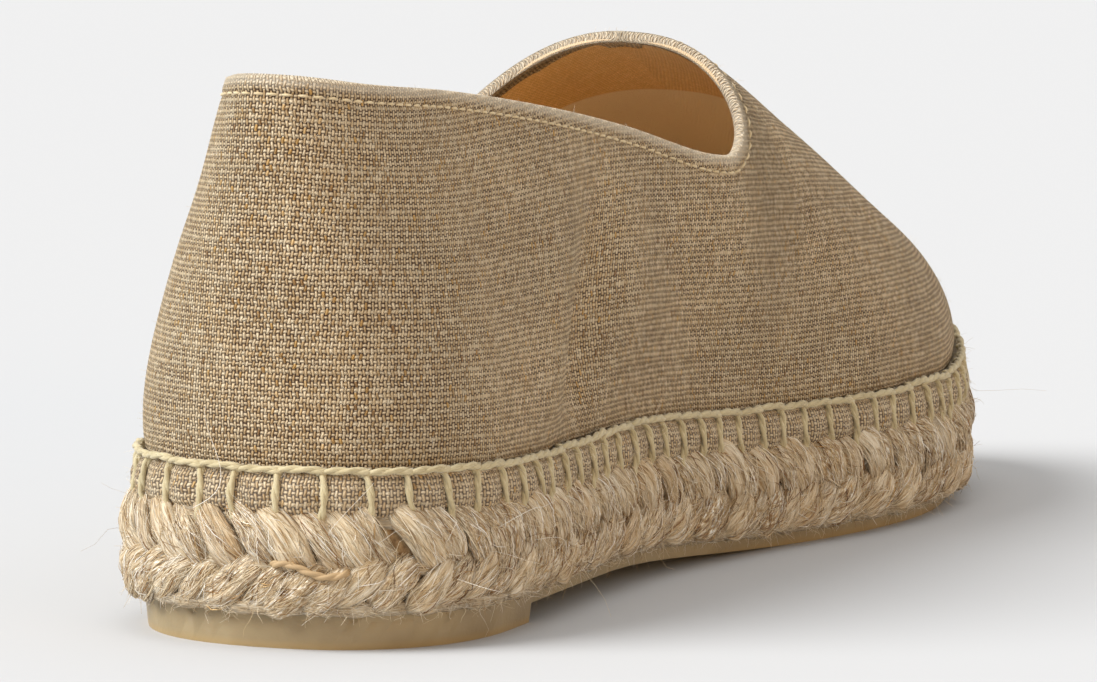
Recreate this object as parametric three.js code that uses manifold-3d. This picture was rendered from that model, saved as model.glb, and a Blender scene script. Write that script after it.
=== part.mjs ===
// Flat linen espadrille, left shoe, women's EU size 38.
// Millimetres, +Z up, toe towards +Y, big-toe (medial) side towards +X.
// The heel of the jute sole is at y = 0 before the whole shoe is centred on its bounding box.

import * as THREE from 'three';
import { mergeVertices } from 'three/addons/utils/BufferGeometryUtils.js';
import Module from 'manifold-3d';

// ---------------------------------------------------------------- driving dimensions

const SHOE_LENGTH = 250;      // jute sole, heel to toe
const CLEARANCE = 0.3;        // gap between neighbouring pieces
const FIT_ROUND = 0.1;        // extra side room where rounded pieces nest

// Sole outline: how the two ends round off.
const HEEL_ROUND = 36;        // length of the rounded heel end
const HEEL_POWER = 2.3;       // squareness of the heel end, 2 is an ellipse
const TOE_ROUND = 76;         // length of the rounded toe end
const TOE_POWER = 2.1;

// Heights of the sole.
const HEEL_LIFT = 3;          // rubber lift under the heel
const LIFT_BREAST_Y = 45;     // front face of the lift
const RUBBER_THICKNESS = 2.6;
const RUBBER_INSET = 2.1;     // the rubber's top edge stands this far inside the widest jute
const SHEET_FOOT_INSET = 2.7; // and its foot a little further, along the sheet
const LIFT_FOOT_INSET = 2.9;  // and round the lift
const LIFT_TOP_INSET = 2.4;
const TOE_SPRING = 5.5;
const ARCH_FADE_FROM = 80;    // the sole comes down from the lift between these two
const BALL_FLAT_FROM = 150;
const BALL_FLAT_TO = 195;     // and rises to the toe spring from here
const SOLE_STACK = 22.7;      // underside of the rubber sheet up to the stitched line
const HEEL_STACK_EXTRA = 1.5; // the jute is this much thicker at the back of the heel
const HEEL_STACK_FADE = 60;

// Canvas hem, turned up round the edge of the sole.
const HEM_HEIGHT = 6.6;       // stitched line down to the lower edge of the hem
const SOLE_TOP_BELOW_STITCH = 3.5;
const INSOLE_THICKNESS = 1.5;
const INSOLE_EDGE_ROUND = 0.4;

// Upper.
const WALL = 1.5;             // canvas and lining together
const UPPER_INSET = 2.1;      // canvas stands this far inside the widest jute
const BED_INSET = UPPER_INSET + WALL + CLEARANCE + FIT_ROUND; // jute and insole inside the upper
const HEEL_TOP_Y = 9;         // rear end of the ridge line that the heel leans to
const HEEL_FAN_TO = 45;       // ribs fan out behind this station
const HOLLOW_FULL_TO = 20;    // the heel's hollow fades out along the sides between these two
const HOLLOW_FADE_TO = 75;
const RIDGE_END_Y = 225;      // front end of the ridge line, where the toe's ribs meet
const TOE_DOME = 46;          // length over which the toe box rounds down
const THROAT_LOW_Y = 131;     // lowest point of the collar, beside the throat
const THROAT_LOW_Z = 64.8;
const THROAT_PEAK_Y = 143;    // the collar crosses the instep ridge here
const THROAT_PEAK_Z = 83.8;

// Mesh fineness.
const SOLE_STATIONS = 46;
const LIFT_STATIONS = 16;
const COLLAR_RIBS = 20;
const THROAT_RIBS = 14;
const VAMP_RIBS = 17;
const THROAT_FAN_FROM = 130;  // feet of the ribs that end on the throat's front edge
const THROAT_FAN_TO = 152;
const THROAT_SPREAD = 2.1;    // evens out their ends across the throat
const RIB_ROWS = 12;
const RIB_SAMPLES = 40;
const RIB_CROWDING = 2.2;     // samples crowd to the foot, where the wall is upright
const HALVINGS = 40;
const MERGE_WITHIN = 1e-3;

// ---------------------------------------------------------------- tables, one row for each station

// Sole outline: middle of the sole and half its width, before the ends are rounded.
const OUTLINE = [
  { y: 0, centre: 0, half: 31.2 },
  { y: 35, centre: 0, half: 31.2 },
  { y: 65, centre: -1.2, half: 31.0 },
  { y: 100, centre: -2.7, half: 31.8 },
  { y: 135, centre: -2.5, half: 36.6 },
  { y: 165, centre: -1.0, half: 42.8 },
  { y: 190, centre: 0.8, half: 43.8 },
  { y: 215, centre: 3.2, half: 42.0 },
  { y: 250, centre: 6.5, half: 40.0 },
];

// Last: place and height of the ridge, and how full the section is on each side of it.
const RIDGE = [
  { y: 9, x: 0, z: 106, medial: 1.6, lateral: 1.6 },
  { y: 45, x: 0.5, z: 102, medial: 1.75, lateral: 1.75 },
  { y: 90, x: 2.0, z: 95.5, medial: 2.3, lateral: 2.1 },
  { y: 120, x: 2.9, z: 90.5, medial: 2.65, lateral: 2.15 },
  { y: 143, x: 3.5, z: 83.8, medial: 2.65, lateral: 1.98 },
  { y: 165, x: 4.0, z: 73.0, medial: 2.5, lateral: 2.1 },
  { y: 190, x: 4.6, z: 60.0, medial: 2.4, lateral: 2.3 },
  { y: 215, x: 5.4, z: 51.0, medial: 2.3, lateral: 2.2 },
  { y: 250, x: 6.5, z: 45.0, medial: 2.2, lateral: 2.2 },
];

// Hollow of the heel: height above the stitched line, and share of the way to the ridge it moves in.
const HEEL_HOLLOW = [
  { rise: 0, share: 0 },
  { rise: 8, share: -0.02 },
  { rise: 16, share: -0.012 },
  { rise: 30, share: 0.04 },
  { rise: 44, share: 0.083 },
  { rise: 60, share: 0.056 },
  { rise: 80, share: 0 },
];

// Collar seen from the side, behind the throat.
const COLLAR = [
  { y: 0, z: 87.5 },
  { y: 6, z: 86.9 },
  { y: 16, z: 85.3 },
  { y: 40, z: 82.5 },
  { y: 66, z: 78.5 },
  { y: 100, z: 72.0 },
  { y: 124, z: 65.8 },
  { y: 131, z: 64.8 },
];

// Edge of the jute, from its underside to the shelf under the hem: two rows of braid.
// rise is a share of the braid's height.
const BRAID_EDGE = [
  { rise: 0, inset: 2.7 },
  { rise: 0.08, inset: 1.3 },
  { rise: 0.25, inset: 0.5 },
  { rise: 0.42, inset: 0.9 },
  { rise: 0.55, inset: 0.3 },
  { rise: 0.78, inset: 0 },
  { rise: 0.93, inset: 0.6 },
  { rise: 1, inset: 1.7 },
];

// Outside of the hem, upwards from its lower edge: drop below the stitched line, and bulge.
const HEM_EDGE = [
  { drop: HEM_HEIGHT, bulge: 0.35 },
  { drop: 5.6, bulge: 0.95 },
  { drop: 3.4, bulge: 1.2 },
  { drop: 1.3, bulge: 0.8 },
];

// ---------------------------------------------------------------- shape functions

/** Smooth curve through a table: returns a function of the first column that gives the others. */
function curveThrough(rows) {
  const [first, ...columns] = Object.keys(rows[0]);
  const places = rows.map((row) => row[first]);
  const values = rows.flatMap((row) => columns.map((name) => row[name]));
  const curve = new THREE.CubicInterpolant(places, values, columns.length, new Float64Array(columns.length));
  return (place) => {
    const sample = curve.evaluate(place);
    return Object.fromEntries(columns.map((name, index) => [name, sample[index]]));
  };
}

const outlineAt = curveThrough(OUTLINE);
const ridgeAt = curveThrough(RIDGE);
const collarAt = curveThrough(COLLAR);
const hollowAt = curveThrough(HEEL_HOLLOW);

/** Superellipse quarter: 1 at share 0, falling to 0 at share 1. */
function quarter(share, power) {
  const inside = THREE.MathUtils.clamp(share, 0, 1);
  return (1 - inside ** power) ** (1 / power);
}

/** Rounding of an outline's end: 0 at the end itself, 1 once `reach` away from it. */
function roundedEnd(distance, reach, power) {
  return distance >= reach ? 1 : quarter(1 - distance / reach, power);
}

/** Side of the outline at y, moved inwards by inset. side is 1 for medial, -1 for lateral. */
function edgeX(side, y, inset) {
  const { centre, half } = outlineAt(y);
  const heel = roundedEnd(y - inset, HEEL_ROUND - inset, HEEL_POWER);
  const toe = roundedEnd(SHOE_LENGTH - inset - y, TOE_ROUND - inset, TOE_POWER);
  return centre + side * (half - inset) * heel * toe;
}

/** Underside of the rubber sheet: up on the lift, flat at the ball, sprung at the toe. */
function undersideZ(y) {
  const arch = HEEL_LIFT * (1 - THREE.MathUtils.smoothstep(y, ARCH_FADE_FROM, BALL_FLAT_FROM));
  const spring = Math.max(0, y - BALL_FLAT_TO) / (SHOE_LENGTH - BALL_FLAT_TO);
  return arch + TOE_SPRING * spring ** 2;
}

/** Line of the stitching that joins upper and sole. */
function stitchZ(y) {
  const heelExtra = HEEL_STACK_EXTRA * (1 - THREE.MathUtils.smoothstep(y, 0, HEEL_STACK_FADE));
  return undersideZ(y) + SOLE_STACK + heelExtra;
}

/** Height of the last over a place in plan, ahead of the heel. */
function lastZ(x, y) {
  const ridge = ridgeAt(y);
  const side = x >= ridge.x ? 1 : -1;
  const halfWidth = Math.max(Math.abs(edgeX(side, y, UPPER_INSET) - ridge.x), MERGE_WITHIN);
  const front = roundedEnd(SHOE_LENGTH - UPPER_INSET - y, TOE_DOME, TOE_POWER);
  const power = side > 0 ? ridge.medial : ridge.lateral;
  const share = Math.abs(x - ridge.x) / halfWidth;
  return stitchZ(y) + (ridge.z - stitchZ(y)) * front * quarter(share, power);
}

/** Point of the section at y. turn is 0 at the stitched line and a quarter turn on the ridge. */
function sectionPoint(side, y, turn) {
  const ridge = ridgeAt(y);
  const power = side > 0 ? ridge.medial : ridge.lateral;
  return new THREE.Vector3(
    THREE.MathUtils.lerp(ridge.x, edgeX(side, y, UPPER_INSET), Math.cos(turn) ** (2 / power)),
    y,
    THREE.MathUtils.lerp(stitchZ(y), ridge.z, Math.sin(turn) ** (2 / power)),
  );
}

/** Turn at which the section at y reaches the height z. */
function sectionTurn(side, y, z) {
  const ridge = ridgeAt(y);
  const power = side > 0 ? ridge.medial : ridge.lateral;
  return Math.asin(((z - stitchZ(y)) / (ridge.z - stitchZ(y))) ** (power / 2));
}

/** Height of the last at a share of the line in plan from a foot on the outline to a top on the ridge. */
function ribZ(side, footY, topY, share) {
  const ridge = ridgeAt(topY);
  if (footY > HEEL_FAN_TO) {
    const x = THREE.MathUtils.lerp(edgeX(side, footY, UPPER_INSET), ridge.x, share);
    return lastZ(x, THREE.MathUtils.lerp(footY, topY, share));
  }
  const power = side > 0 ? ridge.medial : ridge.lateral;
  return THREE.MathUtils.lerp(stitchZ(footY), ridge.z, quarter(1 - share, power));
}

/** Point of the last at that share, with the heel's hollow taken in. */
function lastPoint(side, footY, topY, share) {
  const z = ribZ(side, footY, topY, share);
  const heelness = 1 - THREE.MathUtils.smoothstep(footY, HOLLOW_FULL_TO, HOLLOW_FADE_TO);
  const along = share + heelness * hollowAt(z - stitchZ(footY)).share;
  return new THREE.Vector3(
    THREE.MathUtils.lerp(edgeX(side, footY, UPPER_INSET), ridgeAt(topY).x, along),
    THREE.MathUtils.lerp(footY, topY, along),
    z,
  );
}

/** Collar height at y: the table along the side, then a quarter round up to the throat's peak. */
function collarZ(y) {
  if (y <= THROAT_LOW_Y) {
    return collarAt(y).z;
  }
  const share = (y - THROAT_LOW_Y) / (THROAT_PEAK_Y - THROAT_LOW_Y);
  return THREE.MathUtils.lerp(THROAT_PEAK_Z, THROAT_LOW_Z, quarter(share, 2));
}

/** Share at which a rising measure of a rib's points crosses zero. */
function crossing(measure) {
  let [low, high] = [0, 1];
  for (let step = 0; step < HALVINGS; step += 1) {
    const middle = (low + high) / 2;
    [low, high] = measure(middle) < 0 ? [middle, high] : [low, middle];
  }
  return low;
}

// ---------------------------------------------------------------- stations along the shoe

/** Shares 0 to 1 in equal steps. */
function steps(count) {
  return Array.from({ length: count + 1 }, (_, index) => index / count);
}

/** Stations from heel to toe, close together at both ends. */
function soleStations(inset) {
  const span = SHOE_LENGTH - 2 * inset;
  return steps(SOLE_STATIONS).map((share) => inset + (span * (1 - Math.cos(Math.PI * share))) / 2);
}

/** Stations from the heel to the front face of the lift. */
function liftStations(inset) {
  return steps(LIFT_STATIONS).map((share) => {
    return inset + (LIFT_BREAST_Y - inset) * (1 - Math.cos((Math.PI / 2) * share));
  });
}

// ---------------------------------------------------------------- ribs of the upper

/** Ribs from the stitched line up to the collar's side: where each stands and leans to. */
function collarRibs() {
  return steps(COLLAR_RIBS).map((share) => {
    const foot = UPPER_INSET + (THROAT_FAN_FROM - UPPER_INSET) * (1 - Math.cos((Math.PI / 2) * share));
    const top = foot < HEEL_FAN_TO
      ? THREE.MathUtils.mapLinear(foot, UPPER_INSET, HEEL_FAN_TO, HEEL_TOP_Y, HEEL_FAN_TO)
      : THREE.MathUtils.mapLinear(foot, HEEL_FAN_TO, THROAT_FAN_FROM, HEEL_FAN_TO, THROAT_LOW_Y);
    const pointFor = (side) => (along) => lastPoint(side, foot, top, along);
    const endFor = (side) => crossing((along) => {
      const point = lastPoint(side, foot, top, along);
      return point.z - collarZ(point.y);
    });
    return { foot, open: true, pointFor, endFor };
  });
}

/** Ribs that fan up to the front edge of the throat, spread evenly across it. */
function throatRibs() {
  return steps(THROAT_RIBS).slice(1).map((share) => {
    const foot = THREE.MathUtils.lerp(THROAT_FAN_FROM, THROAT_FAN_TO, share);
    const round = (Math.PI / 2) * (1 - (1 - share) ** THROAT_SPREAD);
    const edgeY = THREE.MathUtils.lerp(THROAT_LOW_Y, THROAT_PEAK_Y, Math.sin(round));
    const pointFor = (side) => {
      const edgeTurn = sectionTurn(side, edgeY, collarZ(edgeY));
      return (along) => sectionPoint(side, THREE.MathUtils.lerp(foot, edgeY, along), edgeTurn * along);
    };
    return { foot, open: true, pointFor, endFor: () => 1 };
  });
}

/** Ribs of the vamp, which meet on the ridge. */
function vampRibs() {
  const toe = SHOE_LENGTH - UPPER_INSET;
  return steps(VAMP_RIBS).slice(1).map((share) => {
    const foot = THROAT_FAN_TO + (toe - THROAT_FAN_TO) * Math.sin((Math.PI / 2) * share);
    const top = THREE.MathUtils.mapLinear(foot, THROAT_FAN_TO, toe, THROAT_PEAK_Y, RIDGE_END_Y);
    const pointFor = (side) => (along) => lastPoint(side, foot, top, along);
    return { foot, open: false, pointFor, endFor: () => 1 };
  });
}

/** Evenly spaced points up a rib, from the stitched line to its end. */
function ribPoints(rib, side) {
  const pointAt = rib.pointFor(side);
  const end = rib.endFor(side);
  const path = steps(RIB_SAMPLES).map((share) => pointAt(end * share ** RIB_CROWDING));
  const points = new THREE.CatmullRomCurve3(path).getSpacedPoints(RIB_ROWS);
  points[RIB_ROWS].copy(path[RIB_SAMPLES]);
  return points;
}

// ---------------------------------------------------------------- mesh helpers

/** Points round both sides: medial from heel to toe, then lateral back. A pointed toe is shared. */
function goRound(stations, pointAt, pointed) {
  const medial = stations.map((y, index) => pointAt(1, y, index));
  const lateral = stations.map((y, index) => pointAt(-1, y, index));
  return medial.concat(lateral.slice(1, pointed ? -1 : undefined).reverse());
}

/** Triangles between two rings of points, facing out when the second ring is above. */
function wallBetween(lower, upper, count) {
  const faces = [];
  for (let index = 0; index < count; index += 1) {
    const next = (index + 1) % count;
    faces.push(lower + index, lower + next, upper + next);
    faces.push(lower + index, upper + next, upper + index);
  }
  return faces;
}

/** Triangles that close a ring by strips from its medial to its lateral side, facing up. */
function lidOver(start, count) {
  const faces = [];
  const across = (index) => start + ((count - index) % count);
  for (let index = 0; index < Math.floor(count / 2); index += 1) {
    const [near, far] = [start + index, start + index + 1];
    faces.push(near, far, across(index + 1));
    faces.push(near, across(index + 1), across(index));
  }
  return faces;
}

/** The same triangles facing the other way. */
function turned(faces) {
  const other = [];
  for (let corner = 0; corner < faces.length; corner += 3) {
    other.push(faces[corner], faces[corner + 2], faces[corner + 1]);
  }
  return other;
}

/** Geometry from points and triangles, with coincident points joined and empty triangles left out. */
function joined(points, faces) {
  const loose = new THREE.BufferGeometry().setFromPoints(points);
  loose.setIndex(faces);
  const geometry = mergeVertices(loose, MERGE_WITHIN);
  const index = geometry.index.array;
  const whole = [];
  for (let corner = 0; corner < index.length; corner += 3) {
    const [a, b, c] = index.slice(corner, corner + 3);
    if (a !== b && b !== c && c !== a) {
      whole.push(a, b, c);
    }
  }
  geometry.setIndex(whole);
  return geometry;
}

/** Closed slab of the sole from its levels, lowest first: each has an inset and a height z(y). */
function slab(levels, stationsOf, pointed) {
  const rings = levels.map(({ inset, z }) => {
    return goRound(stationsOf(inset), (side, y) => new THREE.Vector3(edgeX(side, y, inset), y, z(y)), pointed);
  });
  const count = rings[0].length;
  const faces = turned(lidOver(0, count));
  for (let level = 1; level < rings.length; level += 1) {
    faces.push(...wallBetween((level - 1) * count, level * count, count));
  }
  faces.push(...lidOver((rings.length - 1) * count, count));
  return joined(rings.flat(), faces);
}

// ---------------------------------------------------------------- pieces

/** Rubber sheet and heel lift, moulded as one. */
function outsoleGeometry(wasm) {
  const sheet = slab(
    [
      { inset: SHEET_FOOT_INSET, z: undersideZ },
      { inset: RUBBER_INSET, z: (y) => undersideZ(y) + RUBBER_THICKNESS },
    ],
    soleStations,
    true,
  );
  const lift = slab(
    [
      { inset: LIFT_FOOT_INSET, z: () => 0 },
      { inset: LIFT_TOP_INSET, z: () => HEEL_LIFT + RUBBER_THICKNESS / 2 },
    ],
    liftStations,
    false,
  );
  return fromSolid(toSolid(wasm, sheet).add(toSolid(wasm, lift)));
}

function toSolid(wasm, geometry) {
  return new wasm.Manifold(
    new wasm.Mesh({
      numProp: 3,
      vertProperties: geometry.attributes.position.array,
      triVerts: Uint32Array.from(geometry.index.array),
    }),
  );
}

function fromSolid(solid) {
  const mesh = solid.getMesh();
  const geometry = new THREE.BufferGeometry();
  geometry.setAttribute('position', new THREE.BufferAttribute(mesh.vertProperties, 3));
  geometry.setIndex(new THREE.BufferAttribute(mesh.triVerts, 1));
  return geometry;
}

/** Braided jute sole: two rounded rows of braid, and the raised bed that the hem wraps. */
function juteGeometry() {
  const foot = (y) => undersideZ(y) + RUBBER_THICKNESS + CLEARANCE;
  const shelf = (y) => stitchZ(y) - HEM_HEIGHT - CLEARANCE;
  const braid = BRAID_EDGE.map(({ rise, inset }) => {
    return { inset, z: (y) => THREE.MathUtils.lerp(foot(y), shelf(y), rise) };
  });
  const bed = [
    { inset: BED_INSET, z: shelf },
    { inset: BED_INSET, z: (y) => stitchZ(y) - SOLE_TOP_BELOW_STITCH },
  ];
  return slab([...braid, ...bed], soleStations, true);
}

/** Footbed that lies on the jute, inside the upper. */
function insoleGeometry() {
  const foot = (y) => stitchZ(y) - SOLE_TOP_BELOW_STITCH + CLEARANCE;
  return slab(
    [
      { inset: BED_INSET, z: foot },
      { inset: BED_INSET, z: (y) => foot(y) + INSOLE_THICKNESS - INSOLE_EDGE_ROUND },
      { inset: BED_INSET + INSOLE_EDGE_ROUND, z: (y) => foot(y) + INSOLE_THICKNESS },
    ],
    soleStations,
    true,
  );
}

/** Canvas upper: an open shell over the last, with its hem turned up round the sole's edge. */
function upperGeometry() {
  const ribs = [...collarRibs(), ...throatRibs(), ...vampRibs()];
  const openRibs = ribs.filter((rib) => rib.open).length;
  const feet = ribs.map((rib) => rib.foot);
  const pointsOf = new Map([1, -1].map((side) => [side, ribs.map((rib) => ribPoints(rib, side))]));

  const hemRing = ({ drop, bulge }) => goRound(feet, (side, y) => {
    const edgeY = movedStation(y, bulge);
    return new THREE.Vector3(edgeX(side, edgeY, UPPER_INSET - bulge), edgeY, stitchZ(y) - drop);
  }, true);
  const bodyRing = (row) => goRound(feet, (side, y, index) => pointsOf.get(side)[index][row], true);

  const hem = HEM_EDGE.map(hemRing);
  const body = steps(RIB_ROWS).map((_, row) => bodyRing(row));
  const outer = [...hem, ...body];
  const count = outer[0].length;
  const outside = stackFaces(outer.length, count, 0);

  const normals = normalsOf(outer.flat(), outside);
  const innerHem = HEM_EDGE.map(({ drop }) => hemRing({ drop, bulge: -WALL }));
  const innerBody = body.map((ring, row) => ring.map((point, index) => {
    return point.clone().addScaledVector(normals[(hem.length + row) * count + index], -WALL);
  }));
  innerBody[0] = hemRing({ drop: 0, bulge: -WALL });
  const inner = [...innerHem, ...innerBody];

  const shift = outer.length * count;
  const faces = [...outside, ...turned(stackFaces(inner.length, count, shift))];
  faces.push(...wallBetween(shift, 0, count));
  faces.push(...rimFaces((outer.length - 1) * count, shift, count, openRibs));
  return joined([...outer.flat(), ...inner.flat()], faces);
}

/** A rib's station moved with the outline when the outline is moved outwards by bulge. */
function movedStation(y, bulge) {
  const [heelY, toeY] = [UPPER_INSET, SHOE_LENGTH - UPPER_INSET];
  return THREE.MathUtils.mapLinear(y, heelY, toeY, heelY - bulge, toeY + bulge);
}

/** Triangles of a stack of rings. */
function stackFaces(rings, count, start) {
  return Array.from({ length: rings - 1 }, (_, ring) => ring)
    .flatMap((ring) => wallBetween(start + ring * count, start + (ring + 1) * count, count));
}

/** Triangles of the collar's edge, between the top rings of outside and inside. */
function rimFaces(top, shift, count, openRibs) {
  const faces = [];
  const open = (place) => Math.min(place, count - place) < openRibs;
  for (let index = 0; index < count; index += 1) {
    const next = (index + 1) % count;
    if (open(index) && open(next)) {
      faces.push(top + index, top + next, top + next + shift);
      faces.push(top + index, top + next + shift, top + index + shift);
    }
  }
  return faces;
}

/** Normals of a loose set of points, averaged over the faces that share each place. */
function normalsOf(points, faces) {
  const shell = joined(points, faces);
  shell.computeVertexNormals();
  const places = shell.attributes.position;
  const key = (point) => [point.x, point.y, point.z].map((value) => value.toFixed(3)).join(' ');
  const found = new Map();
  for (let index = 0; index < places.count; index += 1) {
    found.set(
      key(new THREE.Vector3().fromBufferAttribute(places, index)),
      new THREE.Vector3().fromBufferAttribute(shell.attributes.normal, index),
    );
  }
  return points.map((point) => found.get(key(new THREE.Vector3(...point.toArray().map(Math.fround)))));
}

// ---------------------------------------------------------------- assembly

/** Named mesh in its own material. */
function piece(name, geometry, colour, roughness) {
  const material = new THREE.MeshStandardMaterial({ color: colour, roughness, metalness: 0 });
  const mesh = new THREE.Mesh(geometry, material);
  mesh.name = name;
  return mesh;
}

const wasm = await Module();
wasm.setup();

const group = new THREE.Group();
group.add(
  piece('outsole', outsoleGeometry(wasm), 0x998460, 0.55),
  piece('jute_sole', juteGeometry(), 0xc4b295, 0.95),
  piece('insole', insoleGeometry(), 0x9c8462, 0.9),
  piece('upper', upperGeometry(), 0xa8926e, 0.9),
);

const box = new THREE.Box3().setFromObject(group);
group.position.set(-(box.min.x + box.max.x) / 2, -(box.min.y + box.max.y) / 2, -box.min.z);

export default group;
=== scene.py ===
import math

import bpy
import numpy as np
from mathutils import Matrix, Vector


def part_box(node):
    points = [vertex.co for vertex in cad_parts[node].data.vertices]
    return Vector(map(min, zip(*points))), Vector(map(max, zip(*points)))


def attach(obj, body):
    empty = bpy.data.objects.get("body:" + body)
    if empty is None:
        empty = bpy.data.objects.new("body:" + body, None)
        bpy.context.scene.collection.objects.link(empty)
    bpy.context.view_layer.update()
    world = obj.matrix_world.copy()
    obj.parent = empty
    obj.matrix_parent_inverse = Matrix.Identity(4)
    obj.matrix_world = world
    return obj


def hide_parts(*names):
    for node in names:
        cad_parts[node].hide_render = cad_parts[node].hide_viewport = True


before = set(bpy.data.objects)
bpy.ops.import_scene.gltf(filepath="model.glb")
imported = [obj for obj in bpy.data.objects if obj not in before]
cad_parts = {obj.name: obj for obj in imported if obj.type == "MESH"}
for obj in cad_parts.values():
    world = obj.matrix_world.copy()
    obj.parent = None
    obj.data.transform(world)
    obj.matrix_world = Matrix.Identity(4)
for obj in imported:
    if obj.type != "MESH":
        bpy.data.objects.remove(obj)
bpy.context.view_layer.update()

# -------- sizes, in millimetres
# y runs from the heel of the jute sole forwards, x towards the big toe, z up from the floor.

SHOE_LENGTH = 250.0
HEEL_ROUND = 36.0
HEEL_POWER = 2.3
TOE_ROUND = 76.0
TOE_POWER = 2.1
HEEL_LIFT = 3.0
TOE_SPRING = 5.5
ARCH_FADE_FROM = 80.0
BALL_FLAT_FROM = 150.0
BALL_FLAT_TO = 195.0
SOLE_STACK = 22.7
HEEL_STACK_EXTRA = 1.5
HEEL_STACK_FADE = 60.0
RUBBER_THICKNESS = 2.6
HEM_HEIGHT = 6.6
WALL = 1.5
UPPER_INSET = 2.1
HEEL_TOP_Y = 9.0
HEEL_FAN_TO = 45.0
HOLLOW_FULL_TO = 20.0
HOLLOW_FADE_TO = 75.0
RIDGE_END_Y = 225.0
TOE_DOME = 46.0
THROAT_LOW_Y = 131.0
THROAT_LOW_Z = 64.8
THROAT_PEAK_Y = 143.0
THROAT_PEAK_Z = 83.8
THROAT_FAN_FROM = 130.0
THROAT_FAN_TO = 152.0
THROAT_SPREAD = 2.1

OUTLINE = {
    "y": (0, 35, 65, 100, 135, 165, 190, 215, 250),
    "centre": (0, 0, -1.2, -2.7, -2.5, -1.0, 0.8, 3.2, 6.5),
    "half": (31.2, 31.2, 31.0, 31.8, 36.6, 42.8, 43.8, 42.0, 40.0),
}
RIDGE = {
    "y": (9, 45, 90, 120, 143, 165, 190, 215, 250),
    "x": (0, 0.5, 2.0, 2.9, 3.5, 4.0, 4.6, 5.4, 6.5),
    "z": (106, 102, 95.5, 90.5, 83.8, 73, 60, 51, 45),
    "medial": (1.6, 1.75, 2.3, 2.65, 2.65, 2.5, 2.4, 2.3, 2.2),
    "lateral": (1.6, 1.75, 2.1, 2.15, 1.98, 2.1, 2.3, 2.2, 2.2),
}
COLLAR = {
    "y": (0, 6, 16, 40, 66, 100, 124, 131),
    "z": (87.5, 86.9, 85.3, 82.5, 78.5, 72.0, 65.8, 64.8),
}
HEEL_HOLLOW = {
    "rise": (0, 8, 16, 30, 44, 60, 80),
    "share": (0, -0.02, -0.012, 0.04, 0.083, 0.056, 0),
}

STITCH_PITCH = 6.6
FIRST_STITCH = 4.0
YARN_RADIUS = 0.62
LEG_TWIST = 7.5
LINE_TWIST = 6.5
CORD_RADIUS = 0.62
CORD_TWIST = 5.0
CORD_FROM, CORD_TO = 3.0, 15.5
EDGE_THREAD_RADIUS = 0.24
EDGE_STITCH_BELOW = 2.2
EDGE_STITCH_PITCH = 2.4
EDGE_STITCH_LENGTH = 1.65
CANVAS = 0.9
GLUE_GAP = 0.05
FOLD_DEPTH = 3.2
LINING_PALE_FROM_Y = 162.0
HEM_TOP = 0.35
HEM_CLOTH = 40
CORE_DEPTH = 0.7
RUBBER_EDGE = 0.4

# Counts of points along the longer lines and of fuzz fibres, and the gap in metres between points
# that are joined.
RIBS_BEHIND, RIBS_BESIDE, RIBS_AHEAD = 61, 37, 61
RIB_SAMPLES = 240
COLLAR_SEARCH = 4000
PERIMETER_SAMPLES = 2400
HEM_STATIONS = 1240
BED_STATIONS = 620
COLLAR_SAMPLES = 900
STITCH_LINE_SAMPLES = 600
CLOTH_FIBRES = 2600
COLLAR_FIBRES = 700
YARN_FIBRES = 1900
JOIN_GAP = 2e-6

# Soft creases of the upper, each with its side (1 is medial), y, z, half length along the side,
# half height, slant and depth (minus is a trough).
CREASES = (
    (1, 73, 43, 7.5, 20, 0.5, -4.0),
    (1, 56, 44, 8, 20, 0.55, 1.8),
    (1, 95, 46, 8, 18, 0.0, 1.0),
    (1, 112, 42, 6, 16, -0.5, -0.9),
    (1, 36, 52, 5, 18, 0.1, -0.35),
    (1, 134, 44, 8, 18, -0.6, 0.7),
    (-1, 64, 45, 6, 18, 0.2, -0.8),
    (-1, 84, 48, 7, 17, -0.2, 0.6),
    (-1, 108, 44, 6, 16, -0.45, -0.8),
    (-1, 30, 50, 5, 18, 0.1, -0.3),
    (1, 176, 48, 6, 14, -0.9, -0.5),
    (-1, 180, 45, 6, 13, -0.9, -0.5),
)


# -------- shape functions

def curve_through(table):
    """Smooth curve through a table whose first column is the place: a function of the place."""
    places, *columns = (np.array(column, float) for column in table.values())
    last = len(places) - 1

    def at(place):
        place = np.clip(np.asarray(place, float), places[0], places[-1])
        after = np.clip(np.searchsorted(places, place, side="right"), 1, last)
        before = after - 1
        start, end = places[before], places[after]
        earlier = np.where(before > 0, before - 1, after)
        later = np.where(after < last, np.minimum(after + 1, last), before)
        weight_0 = (end - start) / 2 / (start - np.where(before > 0, places[earlier], end))
        weight_1 = (end - start) / 2 / (np.where(after < last, places[later], start) - end)
        p = (place - start) / (end - start)
        shares = (
            -weight_0 * p**3 + 2 * weight_0 * p**2 - weight_0 * p,
            (1 + weight_0) * p**3 - (1.5 + 2 * weight_0) * p**2 + (weight_0 - 0.5) * p + 1,
            -(1 + weight_1) * p**3 + (1.5 + weight_1) * p**2 + 0.5 * p,
            weight_1 * p**3 - weight_1 * p**2,
        )
        found = [sum(s * c[i] for s, i in zip(shares, (earlier, before, after, later))) for c in columns]
        return found if len(found) > 1 else found[0]

    return at


outline_at = curve_through(OUTLINE)
ridge_at = curve_through(RIDGE)
collar_at = curve_through(COLLAR)
hollow_at = curve_through(HEEL_HOLLOW)


def lerp(a, b, share):
    return a + (b - a) * share


def smooth(value, low, high):
    share = np.clip((value - low) / (high - low), 0, 1)
    return share * share * (3 - 2 * share)


def quarter(share, power):
    """Superellipse quarter: 1 at share 0, falling to 0 at share 1."""
    return (1 - np.clip(share, 0, 1) ** power) ** (1 / power)


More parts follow.
